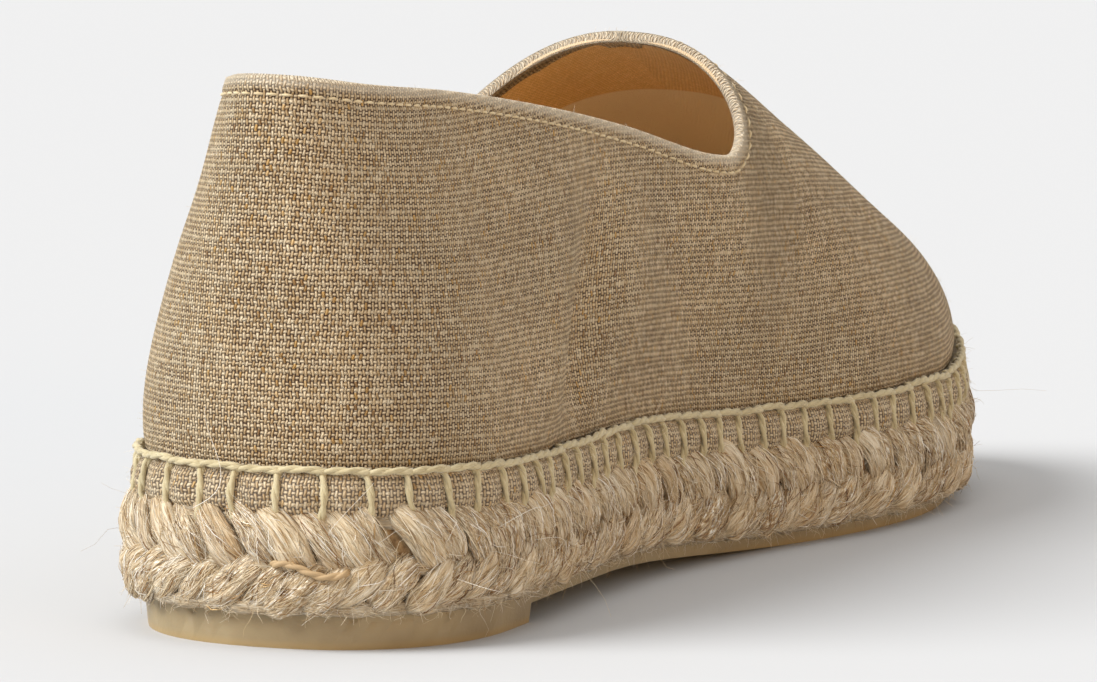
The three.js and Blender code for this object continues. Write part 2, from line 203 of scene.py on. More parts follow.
def rounded_end(distance, reach, power):
    return np.where(distance >= reach, 1.0, quarter(1 - distance / reach, power))


def edge_x(side, y, inset):
    centre, half = outline_at(y)
    heel = rounded_end(y - inset, HEEL_ROUND - inset, HEEL_POWER)
    toe = rounded_end(SHOE_LENGTH - inset - y, TOE_ROUND - inset, TOE_POWER)
    return centre + side * (half - inset) * heel * toe


def underside_z(y):
    arch = HEEL_LIFT * (1 - smooth(y, ARCH_FADE_FROM, BALL_FLAT_FROM))
    spring = np.maximum(0, y - BALL_FLAT_TO) / (SHOE_LENGTH - BALL_FLAT_TO)
    return arch + TOE_SPRING * spring**2


def stitch_z(y):
    return underside_z(y) + SOLE_STACK + HEEL_STACK_EXTRA * (1 - smooth(y, 0, HEEL_STACK_FADE))


def collar_z(y):
    share = (y - THROAT_LOW_Y) / (THROAT_PEAK_Y - THROAT_LOW_Y)
    arch = lerp(THROAT_PEAK_Z, THROAT_LOW_Z, quarter(share, 2))
    return np.where(y <= THROAT_LOW_Y, collar_at(y), arch)


def last_z(x, y):
    ridge_x, ridge_z, medial, lateral = ridge_at(y)
    side = np.where(x >= ridge_x, 1, -1)
    half = np.maximum(np.abs(edge_x(side, y, UPPER_INSET) - ridge_x), 1e-3)
    front = rounded_end(SHOE_LENGTH - UPPER_INSET - y, TOE_DOME, TOE_POWER)
    power = np.where(side > 0, medial, lateral)
    return stitch_z(y) + (ridge_z - stitch_z(y)) * front * quarter(np.abs(x - ridge_x) / half, power)


def last_point(side, foot, top, share):
    """Points of the last on the line in plan from a foot on the outline to a top on the ridge."""
    ridge_x, ridge_z, medial, lateral = ridge_at(top)
    foot_x = edge_x(side, foot, UPPER_INSET)
    if foot > HEEL_FAN_TO:
        z = last_z(lerp(foot_x, ridge_x, share), lerp(foot, top, share))
    else:
        z = lerp(stitch_z(foot), ridge_z, quarter(1 - share, medial if side > 0 else lateral))
    heelness = 1 - smooth(foot, HOLLOW_FULL_TO, HOLLOW_FADE_TO)
    along = share + heelness * hollow_at(z - stitch_z(foot))
    return np.stack([lerp(foot_x, ridge_x, along), lerp(foot, top, along), z], -1)


def section_point(side, y, turn):
    """Points of the sections at y: turn is 0 at the stitched line and pi / 2 on the ridge."""
    ridge_x, ridge_z, medial, lateral = ridge_at(y)
    power = medial if side > 0 else lateral
    x = lerp(ridge_x, edge_x(side, y, UPPER_INSET), np.cos(turn) ** (2 / power))
    return np.stack([x, y, lerp(stitch_z(y), ridge_z, np.sin(turn) ** (2 / power))], -1)


def section_turn(side, y, z):
    _, ridge_z, medial, lateral = ridge_at(y)
    power = medial if side > 0 else lateral
    return np.arcsin(((z - stitch_z(y)) / (ridge_z - stitch_z(y))) ** (power / 2))


# -------- ribs of the upper

def rib_plan():
    """Each rib: whether it ends on the collar, and its points on one side."""
    ribs = []
    fine = np.linspace(0, 1, RIB_SAMPLES) ** 2.2
    for share in np.linspace(0, 1, RIBS_BEHIND):
        foot = UPPER_INSET + (THROAT_FAN_FROM - UPPER_INSET) * (1 - math.cos(math.pi / 2 * share))
        if foot < HEEL_FAN_TO:
            top = np.interp(foot, (UPPER_INSET, HEEL_FAN_TO), (HEEL_TOP_Y, HEEL_FAN_TO))
        else:
            top = np.interp(foot, (HEEL_FAN_TO, THROAT_FAN_FROM), (HEEL_FAN_TO, THROAT_LOW_Y))

        def points(side, foot=foot, top=top):
            path = last_point(side, foot, top, np.linspace(0, 1, COLLAR_SEARCH) ** 1.6)
            beyond = int(np.argmax(path[:, 2] >= collar_z(path[:, 1])))
            rise = path[beyond - 1:beyond + 1, 2] - collar_z(path[beyond - 1:beyond + 1, 1])
            end = lerp(path[beyond - 1], path[beyond], -rise[0] / (rise[1] - rise[0]))
            return np.vstack([path[:beyond], end])

        ribs.append((True, points))
    for share in np.linspace(0, 1, RIBS_BESIDE)[1:]:
        foot = lerp(THROAT_FAN_FROM, THROAT_FAN_TO, share)
        turn = math.pi / 2 * (1 - (1 - share) ** THROAT_SPREAD)
        edge_y = lerp(THROAT_LOW_Y, THROAT_PEAK_Y, math.sin(turn))

        def points(side, foot=foot, edge_y=edge_y):
            end = section_turn(side, edge_y, float(collar_z(edge_y)))
            return section_point(side, lerp(foot, edge_y, fine), end * fine)

        ribs.append((True, points))
    toe = SHOE_LENGTH - UPPER_INSET
    for share in np.linspace(0, 1, RIBS_AHEAD)[1:]:
        foot = THROAT_FAN_TO + (toe - THROAT_FAN_TO) * math.sin(math.pi / 2 * share)
        top = np.interp(foot, (THROAT_FAN_TO, toe), (THROAT_PEAK_Y, RIDGE_END_Y))

        def points(side, foot=foot, top=top):
            return last_point(side, foot, top, fine)

        ribs.append((False, points))
    return ribs


RIBS = rib_plan()
OPEN_RIBS = sum(1 for on_collar, _ in RIBS if on_collar)


def run_along(points, axis=0):
    """Length run along an axis of a grid of points, from 0."""
    steps = np.linalg.norm(np.diff(points, axis=axis), axis=-1)
    nothing = np.zeros_like(np.take(steps, [0], axis=axis))
    return np.concatenate([nothing, np.cumsum(steps, axis=axis)], axis=axis)


def points_at(at, run, path):
    """Points of a path where the length run is at."""
    return np.stack([np.interp(at, run, path[:, axis]) for axis in range(3)], -1)


def resampled(path, shares):
    """Points at shares of a path's length."""
    run = run_along(path)
    return points_at(shares * run[-1], run, path)


def rib_grid(shares):
    """Points of the last at shares of each rib's length: [side, rib, row, xyz]."""
    return np.array([[resampled(points(side), shares) for _, points in RIBS] for side in (1, -1)])


# -------- line round the sole

class Perimeter:
    """The stitched line in plan, anticlockwise from the middle of the heel, by its length."""

    def __init__(self):
        swing = (1 - np.cos(np.linspace(0, math.pi, PERIMETER_SAMPLES))) / 2
        y = UPPER_INSET + (SHOE_LENGTH - 2 * UPPER_INSET) * swing
        medial, lateral = edge_x(1, y, UPPER_INSET), edge_x(-1, y, UPPER_INSET)
        self.x = np.concatenate([medial, lateral[-2::-1]])
        self.y = np.concatenate([y, y[-2::-1]])
        self.run = np.concatenate([[0], np.cumsum(np.hypot(np.diff(self.x), np.diff(self.y)))])
        self.length = float(self.run[-1])

    def plan(self, s):
        s = np.mod(s, self.length)
        return np.interp(s, self.run, self.x), np.interp(s, self.run, self.y)

    def outward(self, s):
        reach = 0.6
        (x0, y0), (x1, y1) = self.plan(s - reach), self.plan(s + reach)
        size = np.hypot(x1 - x0, y1 - y0)
        return (y1 - y0) / size, -(x1 - x0) / size

    def point(self, s, out, above):
        """Points out from the line and above it, above being measured from the stitched line."""
        x, y = self.plan(s)
        out_x, out_y = self.outward(s)
        return np.stack([x + out_x * out, y + out_y * out, stitch_z(y) + above], -1)

    def normal(self, s):
        out_x, out_y = self.outward(s)
        return np.stack([out_x, out_y, np.zeros_like(out_x)], -1)

    def beside(self, y):
        """Length round the sole at y, along the medial side and along the lateral side."""
        return np.stack([
            np.interp(y[0], self.y[:PERIMETER_SAMPLES], self.run[:PERIMETER_SAMPLES]),
            np.interp(y[1], self.y[:PERIMETER_SAMPLES - 2:-1], self.run[:PERIMETER_SAMPLES - 2:-1]),
        ])

    def braid_z(self, s, share):
        """Height above the stitched line of a share of the braid, from the rubber up to the hem."""
        _, y = self.plan(s)
        foot = underside_z(y) + RUBBER_THICKNESS - stitch_z(y)
        return lerp(foot, -HEM_HEIGHT, share)


AROUND = Perimeter()
STITCHES = round(AROUND.length / STITCH_PITCH)
PITCH = AROUND.length / STITCHES

jute_low, jute_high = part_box("jute_sole")
outline_y = np.linspace(0, SHOE_LENGTH, COLLAR_SEARCH)
SHIFT = np.array([
    500 * (jute_low.x + jute_high.x) - (edge_x(1, outline_y, 0).max() + edge_x(-1, outline_y, 0).min()) / 2,
    1000 * jute_low.y,
    0,
])


# -------- mesh helpers

def in_frame(points):
    return (np.asarray(points, float).reshape(-1, 3) + SHIFT) / 1000


def placed(name, data):
    """New object of the scene."""
    made = bpy.data.objects.new(name, data)
    bpy.context.collection.objects.link(made)
    return made


def joined(piece, then):
    """Joins the points of a piece that meet, and then may do one more thing to its whole mesh."""
    bpy.ops.object.select_all(action="DESELECT")
    piece.select_set(True)
    bpy.context.view_layer.objects.active = piece
    bpy.ops.object.mode_set(mode="EDIT")
    bpy.ops.mesh.select_all(action="SELECT")
    bpy.ops.mesh.remove_doubles(threshold=JOIN_GAP)
    if then is not None:
        then()
    bpy.ops.mesh.select_all(action="DESELECT")
    bpy.ops.object.mode_set(mode="OBJECT")


def mesh_piece(name, part, material, values=None, weld=False):
    """Object from points in millimetres, faces and a UV in millimetres, with named point values."""
    points, faces, uv = part
    mesh = bpy.data.meshes.new(name)
    mesh.from_pydata(in_frame(points), [], faces)
    corners = np.empty(len(mesh.loops), int)
    mesh.loops.foreach_get("vertex_index", corners)
    layer = mesh.uv_layers.new(name="cloth")
    layer.data.foreach_set("uv", np.asarray(uv, np.float32).reshape(-1, 2)[corners].ravel())
    for label, data in (values or {}).items():
        layer = mesh.attributes.new(label, "FLOAT", "POINT")
        layer.data.foreach_set("value", np.asarray(data, np.float32).ravel())
    mesh.shade_smooth()
    mesh.materials.append(material)
    piece = placed(name, mesh)
    if weld:
        joined(piece, lambda: bpy.ops.mesh.normals_make_consistent(inside=False))
    return piece


def grid_faces(rows, columns, start=0, wrap=False, flip=False):
    """Quads of a grid of points stored row by row."""
    row, column = np.meshgrid(np.arange(rows - 1), np.arange(columns - (0 if wrap else 1)), indexing="ij")
    after = (column + 1) % columns
    quads = np.stack([
        row * columns + column,
        row * columns + after,
        (row + 1) * columns + after,
        (row + 1) * columns + column,
    ], -1).reshape(-1, 4) + start
    return quads[:, ::-1] if flip else quads


def unit(vectors):
    return vectors / np.maximum(np.linalg.norm(vectors, axis=-1, keepdims=True), 1e-9)


def sideways(along, ups):
    """Unit vectors across a path and out from it."""
    along = unit(along)
    across = unit(np.cross(along, ups))
    return across, np.cross(across, along)


def tubes(paths, radii, ups, sides=8, flat=1.0):
    """Closed tubes along paths [tube, point, xyz], with ups on their outer side. Points, faces, UV."""
    count, length, _ = paths.shape
    across, above = sideways(np.gradient(paths, axis=1), ups)
    turn = np.linspace(0, 2 * math.pi, sides, endpoint=False)
    radii = np.broadcast_to(radii, (count, length))[..., None, None]
    ring = across[:, :, None] * np.cos(turn)[:, None] + above[:, :, None] * np.sin(turn)[:, None] * flat
    points = paths[:, :, None] + ring * radii
    uv = np.empty((count, length, sides, 2))
    uv[..., 0] = run_along(paths, 1)[..., None]
    uv[..., 1] = turn / (2 * math.pi)
    quads = grid_faces(length, sides, wrap=True, flip=True)
    starts = np.arange(count) * length * sides
    faces = (quads[None] + starts[:, None, None]).reshape(-1, 4).tolist()
    first = np.arange(sides)
    for start in starts:
        faces.append((start + first).tolist())
        faces.append((start + (length - 1) * sides + first[::-1]).tolist())
    return points.reshape(-1, 3), faces, uv.reshape(-1, 2)


def per_point(values, part):
    """One value for each tube of a part, repeated for its points."""
    return np.repeat(values, len(part[0]) // len(values))


def join_parts(parts):
    """Several (points, faces, uv) as one."""
    points, faces, uv, start = [], [], [], 0
    for part_points, part_faces, part_uv in parts:
        points.append(part_points)
        faces.extend([[corner + start for corner in face] for face in part_faces])
        uv.append(part_uv)
        start += len(part_points)
    return np.vstack(points), faces, np.vstack(uv)


# -------- materials

def rgb(red, green, blue):
    """Linear colour from 0 to 255 display values."""
    values = [channel / 255 for channel in (red, green, blue)]
    return (*[v / 12.92 if v <= 0.04045 else ((v + 0.055) / 1.055) ** 2.4 for v in values], 1.0)


class Finish:
    """A material and the nodes that are added to it."""

    def __init__(self, name):
        self.material = bpy.data.materials.new(name)
        self.material.use_nodes = True
        self.material.node_tree.nodes.clear()
        self.shader = self.node("ShaderNodeBsdfPrincipled")
        self.node("ShaderNodeOutputMaterial", {"Surface": self.shader.outputs["BSDF"]})

    def fill(self, sockets, values):
        """Links each value that is a socket, and sets the others."""
        for name, value in values.items():
            if isinstance(value, bpy.types.NodeSocket):
                self.material.node_tree.links.new(value, sockets[name])
            else:
                sockets[name].default_value = value

    def node(self, kind, inputs=None, **settings):
        made = self.material.node_tree.nodes.new(kind)
        for name, value in settings.items():
            setattr(made, name, value)
        self.fill(made.inputs, inputs or {})
        return made

    def math(self, operation, *values):
        return self.node("ShaderNodeMath", dict(enumerate(values)), operation=operation).outputs[0]

    def times(self, first, second):
        return self.math("MULTIPLY", first, second)

    def times_plus(self, value, by, more):
        return self.math("MULTIPLY_ADD", value, by, more)

    def pushed(self, value, noise, reach):
        """A value moved by a noise round its middle."""
        return self.times_plus(self.math("SUBTRACT", noise, 0.5), reach, value)

    def split(self, vector):
        return self.node("ShaderNodeSeparateXYZ", {0: vector}).outputs

    def uv(self):
        u, v, _ = self.split(self.node("ShaderNodeUVMap", uv_map="cloth").outputs[0])
        return u, v

    def place(self):
        return self.node("ShaderNodeTexCoord").outputs["Object"]

    def value(self, label):
        return self.node("ShaderNodeAttribute", attribute_name=label).outputs["Fac"]

    def vector(self, x, y, z=0.0):
        return self.node("ShaderNodeCombineXYZ", {0: x, 1: y, 2: z}).outputs[0]

    def noise(self, vector, scale, detail, roughness=0.5):
        inputs = {"Vector": vector, "Scale": scale, "Detail": detail, "Roughness": roughness}
        return self.node("ShaderNodeTexNoise", inputs).outputs["Fac"]

    def chance(self, x, y):
        """A random value for each whole pair."""
        inputs = {"Vector": self.vector(x, y)}
        return self.node("ShaderNodeTexWhiteNoise", inputs, noise_dimensions="3D").outputs["Value"]

    def span(self, value, low, high, to_low=0.0, to_high=1.0):
        inputs = {0: value, 1: low, 2: high, 3: to_low, 4: to_high}
        return self.node("ShaderNodeMapRange", inputs, interpolation_type="SMOOTHSTEP").outputs[0]

    def ramp(self, value, stops):
        made = self.node("ShaderNodeValToRGB", {0: value})
        band = made.color_ramp
        while len(band.elements) < len(stops):
            band.elements.new(0.5)
        for element, (position, colour) in zip(band.elements, stops):
            element.position = position
            element.color = rgb(*colour)
        return made.outputs[0]

    def mix(self, share, first, second, blend="MIX"):
        inputs = {"Factor": share, 6: first, 7: second}
        return self.node("ShaderNodeMix", inputs, data_type="RGBA", blend_type=blend).outputs[2]

    def cloth_noise(self, along, up, start=0.0, detail=2.0, roughness=0.5):
        """Noise in the cloth's coordinates, scaled by along and up, with a start of its own."""
        u, v = self.uv()
        return self.noise(self.vector(self.times(u, along), self.times(v, up), start), 1.0, detail, roughness)

    def bump(self, height, distance, strength=1.0):
        inputs = {"Height": height, "Distance": distance, "Strength": strength}
        return self.node("ShaderNodeBump", inputs).outputs[0]

    def set(self, **inputs):
        self.fill(self.shader.inputs, {name.replace("_", " "): value for name, value in inputs.items()})
        return self.material


def toned(name, stops, **surface):
    """Plain finish whose colour follows each fibre's own tint."""
    f = Finish(name)
    return f.set(Base_Color=f.ramp(f.value("tint"), stops), **surface)


def woven(name, warp, weft, crowns, bars, gap, depth):
    """Plain weave in the cloth's own millimetres: warp stands up as crowns, weft shows as bars, and the low
    places between them take the gap colour as painted shade.
    """
    f = Finish(name)
    u, v = f.uv()
    up = f.pushed(v, f.cloth_noise(0.08, 0.35, 4.0), 0.7)
    up = f.math("DIVIDE", f.pushed(up, f.cloth_noise(0.6, 0.9, 17.0, 1.0), 0.36), weft)
    across = f.pushed(u, f.cloth_noise(0.35, 0.10), 0.55)
    across = f.math("DIVIDE", f.pushed(across, f.cloth_noise(0.9, 0.7, 13.0, 1.0), 0.30), warp)
    across = f.times_plus(f.math("SINE", f.times(up, math.pi)), 0.10, across)
    wave_u, wave_v = (f.math("COSINE", f.times(value, math.pi)) for value in (across, up))
    over = f.times(wave_u, wave_v)
    end, pick = (f.math("FLOOR", f.math("ADD", value, 0.5)) for value in (across, up))
    odd = f.chance(end, pick)
    warp_size = f.span(f.chance(end, 0.5), 0.0, 1.0, 0.84, 1.12)
    weft_size = f.span(f.chance(0.5, pick), 0.0, 1.0, 0.80, 1.35)
    tops = []
    for ripple, power, lean, level, size in (
        (wave_u, 0.8, 0.5, 0.5, warp_size),
        (wave_v, 1.8, -0.42, 0.42, weft_size),
    ):
        top = f.math("POWER", f.math("ABSOLUTE", ripple), power)
        tops.append(f.times(f.times(top, f.times_plus(over, lean, level)), size))
    height = f.times(f.math("MAXIMUM", *tops), f.span(odd, 0.0, 1.0, 0.86, 1.1))
    patch = f.cloth_noise(0.05, 0.05, 9.0, 3.0)
    slub = f.cloth_noise(1.8, 0.10, 2.0, 1.0)
    worn = f.times(f.span(patch, 0.3, 0.7, 0.90, 1.06), f.span(slub, 0.3, 0.7, 0.93, 1.05))
    shade = f.node("ShaderNodeCombineColor", {0: worn, 1: worn, 2: worn}).outputs[0]
    colour = f.mix(1.0, f.ramp(odd, crowns), shade, "MULTIPLY")
    colour = f.mix(f.span(over, -0.15, -0.5, 0.0, 0.6), colour, rgb(*bars))
    # Painted shade: where the weave sits low between the yarns, the colour turns to the dark gap colour.
    colour = f.mix(f.span(height, 0.15, 0.53), rgb(*gap), colour)
    colour = f.mix(f.times(f.value("edge"), 0.5), colour, rgb(238, 226, 204))
    relief = f.times_plus(f.cloth_noise(6.0, 3.0), 0.12, height)
    f.set(
        Base_Color=colour,
        Roughness=0.78,
        Specular_IOR_Level=0.25,
        Sheen_Weight=0.32,
        Sheen_Roughness=0.35,
        Sheen_Tint=rgb(255, 238, 206),
        Normal=f.bump(relief, depth),
    )
    return f


CROWNS = (
    (0.0, (178, 147, 104)),
    (0.25, (197, 168, 126)),
    (0.60, (214, 188, 148)),
    (0.90, (232, 212, 178)),
    (0.96, (206, 162, 94)),
    (1.0, (146, 110, 70)),
)
LINEN = woven(
    "linen", warp=0.56, weft=0.86, crowns=CROWNS, bars=(224, 206, 174), gap=(60, 38, 22), depth=0.00050
).material


def lining_finish():
    """Orange-brown lining round the throat, turning paler ahead of a line across the shoe at
    LINING_PALE_FROM_Y.
    """
    throat_tones = ((0.0, (228, 184, 116)), (0.5, (236, 194, 126)), (1.0, (242, 202, 138)))
    f = woven("lining", 0.42, 0.6, throat_tones, bars=(236, 196, 132), gap=(204, 160, 100), depth=0.00010)
    y = f.split(f.place())[1]
    pale_from = (LINING_PALE_FROM_Y + SHIFT[1]) / 1000
    woven_colour = f.shader.inputs["Base Color"].links[0].from_socket
    return f.set(Base_Color=f.mix(f.span(y, pale_from - 0.0004, pale_from + 0.0004), woven_colour, rgb(238, 218, 184)))


LINING = lining_finish()


# -------- linen upper

ROWS = np.concatenate([np.linspace(0, 0.86, 40, endpoint=False), np.linspace(0.86, 1, 24)])
GRID = rib_grid(ROWS)


def shell_normals(grid):
    """Outward normals of a two-sided grid, shared where ribs and sides meet."""
    normals = np.zeros_like(grid)
    for place, side in enumerate((1, -1)):
        along = np.gradient(grid[place], axis=0)
        up = np.gradient(grid[place], axis=1)
        normals[place] = side * np.cross(along, up)
    keys = np.round(grid.reshape(-1, 3), 3)
    _, same = np.unique(keys, axis=0, return_inverse=True)
    same = same.ravel()
    total = np.zeros((same.max() + 1, 3))
    np.add.at(total, same, unit(normals).reshape(-1, 3))
    return unit(total)[same].reshape(grid.shape)


NORMALS = shell_normals(GRID)


def collar_distance(grid):
    """Distance of each point of a grid from the collar's edge."""
    shares = np.linspace(0, 1, COLLAR_SAMPLES)
    edge = np.vstack([resampled(GRID[place, :OPEN_RIBS, -1], shares) for place in (0, 1)])
    flat = grid.reshape(-1, 3)
    nearest = np.full(len(flat), 1e9)
    for start in range(0, len(edge), 150):
        gap = flat[:, None] - edge[None, start:start + 150]
        nearest = np.minimum(nearest, np.einsum("ijk,ijk->ij", gap, gap).min(1))
    return np.sqrt(nearest).reshape(grid.shape[:-1])


BELOW_EDGE = collar_distance(GRID)


def cloth_uv(grid):
    """Cloth coordinates: length along each row from the heel, and length up each rib."""
    rows, ribs = run_along(grid, 1), run_along(grid, 2)
    rows[1] *= -1
    return np.stack([rows, ribs], -1)


def stitch_phase(s):
    """0 at a leg of the blanket stitch, 1 midway between two."""
    return (1 - np.cos(2 * math.pi * (s - FIRST_STITCH) / PITCH)) / 2


def wave(s, times, start=0.0):
    """Sine that repeats a whole number of times round the sole."""
    return np.sin(2 * math.pi * times * s / AROUND.length + start)


def creased(grid):
    """How far the creases and the cloth's own unevenness move each point out of the last."""
    out = np.zeros(grid.shape[:-1])
    for side, y, z, half_length, half_height, slant, depth in CREASES:
        place = 0 if side > 0 else 1
        up = grid[place, ..., 2] - z
        along = grid[place, ..., 1] - y - slant * up
        out[place] += depth * np.exp(-(along / half_length) ** 2 - (up / half_height) ** 2)
    above = cloth_uv(grid)[..., 1]
    out *= lerp(0.35, 1, smooth(above, 0, 8))
    s = AROUND.beside(grid[:, :, 0, 1])
    strength = 0.6 + 0.4 * wave(s, 9, 0.7) + 0.3 * wave(s, 20)
    out -= (0.30 * (1 - stitch_phase(s)) * strength)[..., None] * np.exp(-above / 5)
    x, y, z = np.moveaxis(grid, -1, 0)
    out += 0.10 * np.sin(y / 5.1 + 1.3 * np.sin(z / 9)) * np.sin(z / 7.3 + x / 11)
    return out


def upper_shell(grid, normals, below, out, thickness, face, name, material, folded):
    """Closed shell of cloth on the last: outside, collar edge, inside and lower edge."""
    ribs, columns = grid.shape[1:3]
    uv = cloth_uv(grid)
    outside = grid + normals * out[..., None]
    inside = grid + normals * (face - thickness)[..., None]
    rims, rims_uv = collar_rims(outside, inside, uv, folded)
    steps = rims.shape[2]
    layer = ribs * columns
    paleness = 1 - smooth(below, 0.2, 1.5)
    points, faces, cloth, edge = [], [], [], []
    start = 0
    for place in (0, 1):
        points.extend(layer_points[place].reshape(-1, 3) for layer_points in (outside, inside, rims))
        cloth.extend(layer_uv[place].reshape(-1, 2) for layer_uv in (uv, uv, rims_uv))
        edge.extend([paleness[place].ravel(), paleness[place].ravel(), np.ones(OPEN_RIBS * steps)])
        faces.extend(grid_faces(ribs, columns, start).tolist())
        faces.extend(grid_faces(ribs, columns, start + layer).tolist())
        for rib in range(ribs - 1):
            low = start + rib * columns
            faces.append([low, low + columns, low + columns + layer, low + layer])
        lines = []
        for rib in range(OPEN_RIBS):
            top = start + rib * columns + columns - 1
            between = start + 2 * layer + rib * steps + np.arange(steps)
            lines.append([top, *between.tolist(), top + layer])
        for line, after in zip(lines, lines[1:]):
            faces.extend([line[k], after[k], after[k + 1], line[k + 1]] for k in range(steps + 1))
        start += 2 * layer + OPEN_RIBS * steps
    values = {"edge": np.concatenate(edge)}
    return mesh_piece(name, (np.vstack(points), faces, np.vstack(cloth)), material, values, weld=True)


def collar_rims(outside, inside, uv, folded):
    """Rounded edge between outside and inside on the open ribs of both sides."""
    top, inner = outside[:, :OPEN_RIBS, -1], inside[:, :OPEN_RIBS, -1]
    rise = unit(top - outside[:, :OPEN_RIBS, -4])
    rise[:, -1] = unit(rise[:, -1].sum(0))
    middle, half = (top + inner) / 2, (top - inner) / 2
    height = np.linalg.norm(half, axis=-1, keepdims=True) * folded
    turns = np.linspace(0, math.pi, 6)[1:-1]
    rims = np.stack([middle + half * math.cos(t) + rise * height * math.sin(t) for t in turns], 2)
    rims_uv = np.stack([uv[:, :OPEN_RIBS, -1] + np.array([0, 0.55 * t]) for t in turns], 2)
    return rims, rims_uv


PINCH = np.exp(-(cloth_uv(GRID)[..., 1] / 1.8) ** 2)
FOLDED = 1 - smooth(BELOW_EDGE, 1.3, 2.4)
GROOVE = np.exp(-((BELOW_EDGE - EDGE_STITCH_BELOW) / 0.45) ** 2)
WRINKLES = creased(GRID)
EDGE_STILL = smooth(BELOW_EDGE, 2, 10)
OUT = WRINKLES * EDGE_STILL + 0.22 * FOLDED - 0.16 * GROOVE - 0.35 * PINCH
IN = CANVAS + 0.85 * (1 - smooth(BELOW_EDGE, FOLD_DEPTH - 0.2, FOLD_DEPTH + 0.3))

upper = upper_shell(GRID, NORMALS, BELOW_EDGE, OUT, IN, WRINKLES * EDGE_STILL, "linen_upper", LINEN, 0.9)
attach(upper, "root")
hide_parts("upper")


# -------- lining

def lining_piece():
    """Thin closed shell inside the canvas, from the footbed up into the collar's fold."""
    grid = rib_grid(np.concatenate([np.linspace(0, 0.86, 26, endpoint=False), np.linspace(0.86, 1, 14)]))
    normals = shell_normals(grid)
    below = collar_distance(grid)
    outer = creased(grid) * smooth(below, 2, 10) - CANVAS - GLUE_GAP
    thickness = np.full(outer.shape, WALL - CANVAS - GLUE_GAP)
    return upper_shell(grid, normals, below, outer, thickness, outer, "lining", LINING, 0.6)


lining = lining_piece()
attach(lining, "root")


# -------- stitched hem

def hem_out(s, drop):
    """How far the hem stands out from the line: pillows between the legs of the stitching."""
    full = np.interp(drop, (0, 1.3, 3.4, 5.6, HEM_HEIGHT), (0.3, 1.35, 2.0, 1.8, 0.9))
    pillow = np.sin(np.clip(drop / HEM_HEIGHT, 0, 1) * math.pi) ** 0.7
    uneven = 0.16 * wave(s, 10, 1.1) + 0.12 * wave(s, 23)
    return full + pillow * (0.95 * stitch_phase(s) ** 0.7 - 0.6 + uneven)


def hem_piece():
    """Band of turned-up canvas round the edge of the sole."""
    s = np.linspace(0, AROUND.length, HEM_STATIONS)
    drops = np.concatenate([[0.0, 0.4, 1.0], np.linspace(1.6, 6.0, 9), [6.35, HEM_HEIGHT]])
    ragged = 0.35 * stitch_phase(s) + 0.22 * wave(s, 13) + 0.12 * wave(s, 34)
    rows, cloth = [], []
    for drop in drops:
        stretch = drop + ragged * (drop / HEM_HEIGHT) ** 3
        rows.append(AROUND.point(s, hem_out(s, drop), HEM_TOP - stretch))
        cloth.append(np.stack([s, np.full(HEM_STATIONS, HEM_CLOTH - drop)], -1))
    under = HEM_HEIGHT + ragged
    back = ((0.1, 0.3, 0.4), (-0.7, 0.1, 1.2), (-0.7, HEM_HEIGHT - 0.4, 8.0), (-0.3, HEM_HEIGHT + 0.3, 9.0))
    for out, above, place in back:
        rows.append(AROUND.point(s, out, HEM_TOP - under + above))
        cloth.append(np.stack([s, np.full(HEM_STATIONS, HEM_CLOTH - HEM_HEIGHT - place)], -1))
    faces = grid_faces(len(rows), HEM_STATIONS, flip=True).tolist()
    last = (len(rows) - 1) * HEM_STATIONS
    first = np.arange(HEM_STATIONS - 1)
    faces.extend(np.stack([first, first + 1, last + first + 1, last + first], -1).tolist())
    values = {"edge": np.full(len(rows) * HEM_STATIONS, 0.2)}
    return mesh_piece("hem", (np.array(rows), faces, np.array(cloth)), LINEN, values, weld=True)


hem = hem_piece()
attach(hem, "root")


# -------- yarn and thread

def spun(name, stops, streak, depth):
    """Spun yarn: fibres along the thread, soft and slightly uneven in colour."""
    f = Finish(name)
    fibres = f.cloth_noise(0.7, streak, 0.0, 3.0, 0.6)
    tone = f.noise(f.place(), 260.0, 2.0)
    return f.set(
        Base_Color=f.ramp(f.times_plus(tone, 0.4, f.times(fibres, 0.6)), stops),
        Roughness=0.85,
        Specular_IOR_Level=0.2,
        Sheen_Weight=0.3,
        Normal=f.bump(fibres, depth, 0.8),
    )


YARN_TONES = ((0.25, (158, 142, 106)), (0.5, (198, 184, 146)), (0.75, (218, 206, 172)))
THREAD_TONES = ((0.2, (186, 162, 118)), (0.6, (226, 208, 170)), (0.9, (240, 228, 198)))
YARN = spun("blanket_yarn", YARN_TONES, 9.0, 0.00018)
THREAD = spun("edge_thread", THREAD_TONES, 5.0, 0.00008)


def plies(paths, ups, radius, pitch):
    """Two strands twisted round each path."""
    across, above = sideways(np.gradient(paths, axis=1), ups)
    parts = []
    for begin in (0, math.pi):
        turn = (run_along(paths, 1) / pitch * 2 * math.pi + begin)[..., None]
        strand = paths + (across * np.cos(turn) + above * np.sin(turn)) * 0.36 * radius
        parts.append(tubes(strand, 0.70 * radius, ups, 7))
    return join_parts(parts)


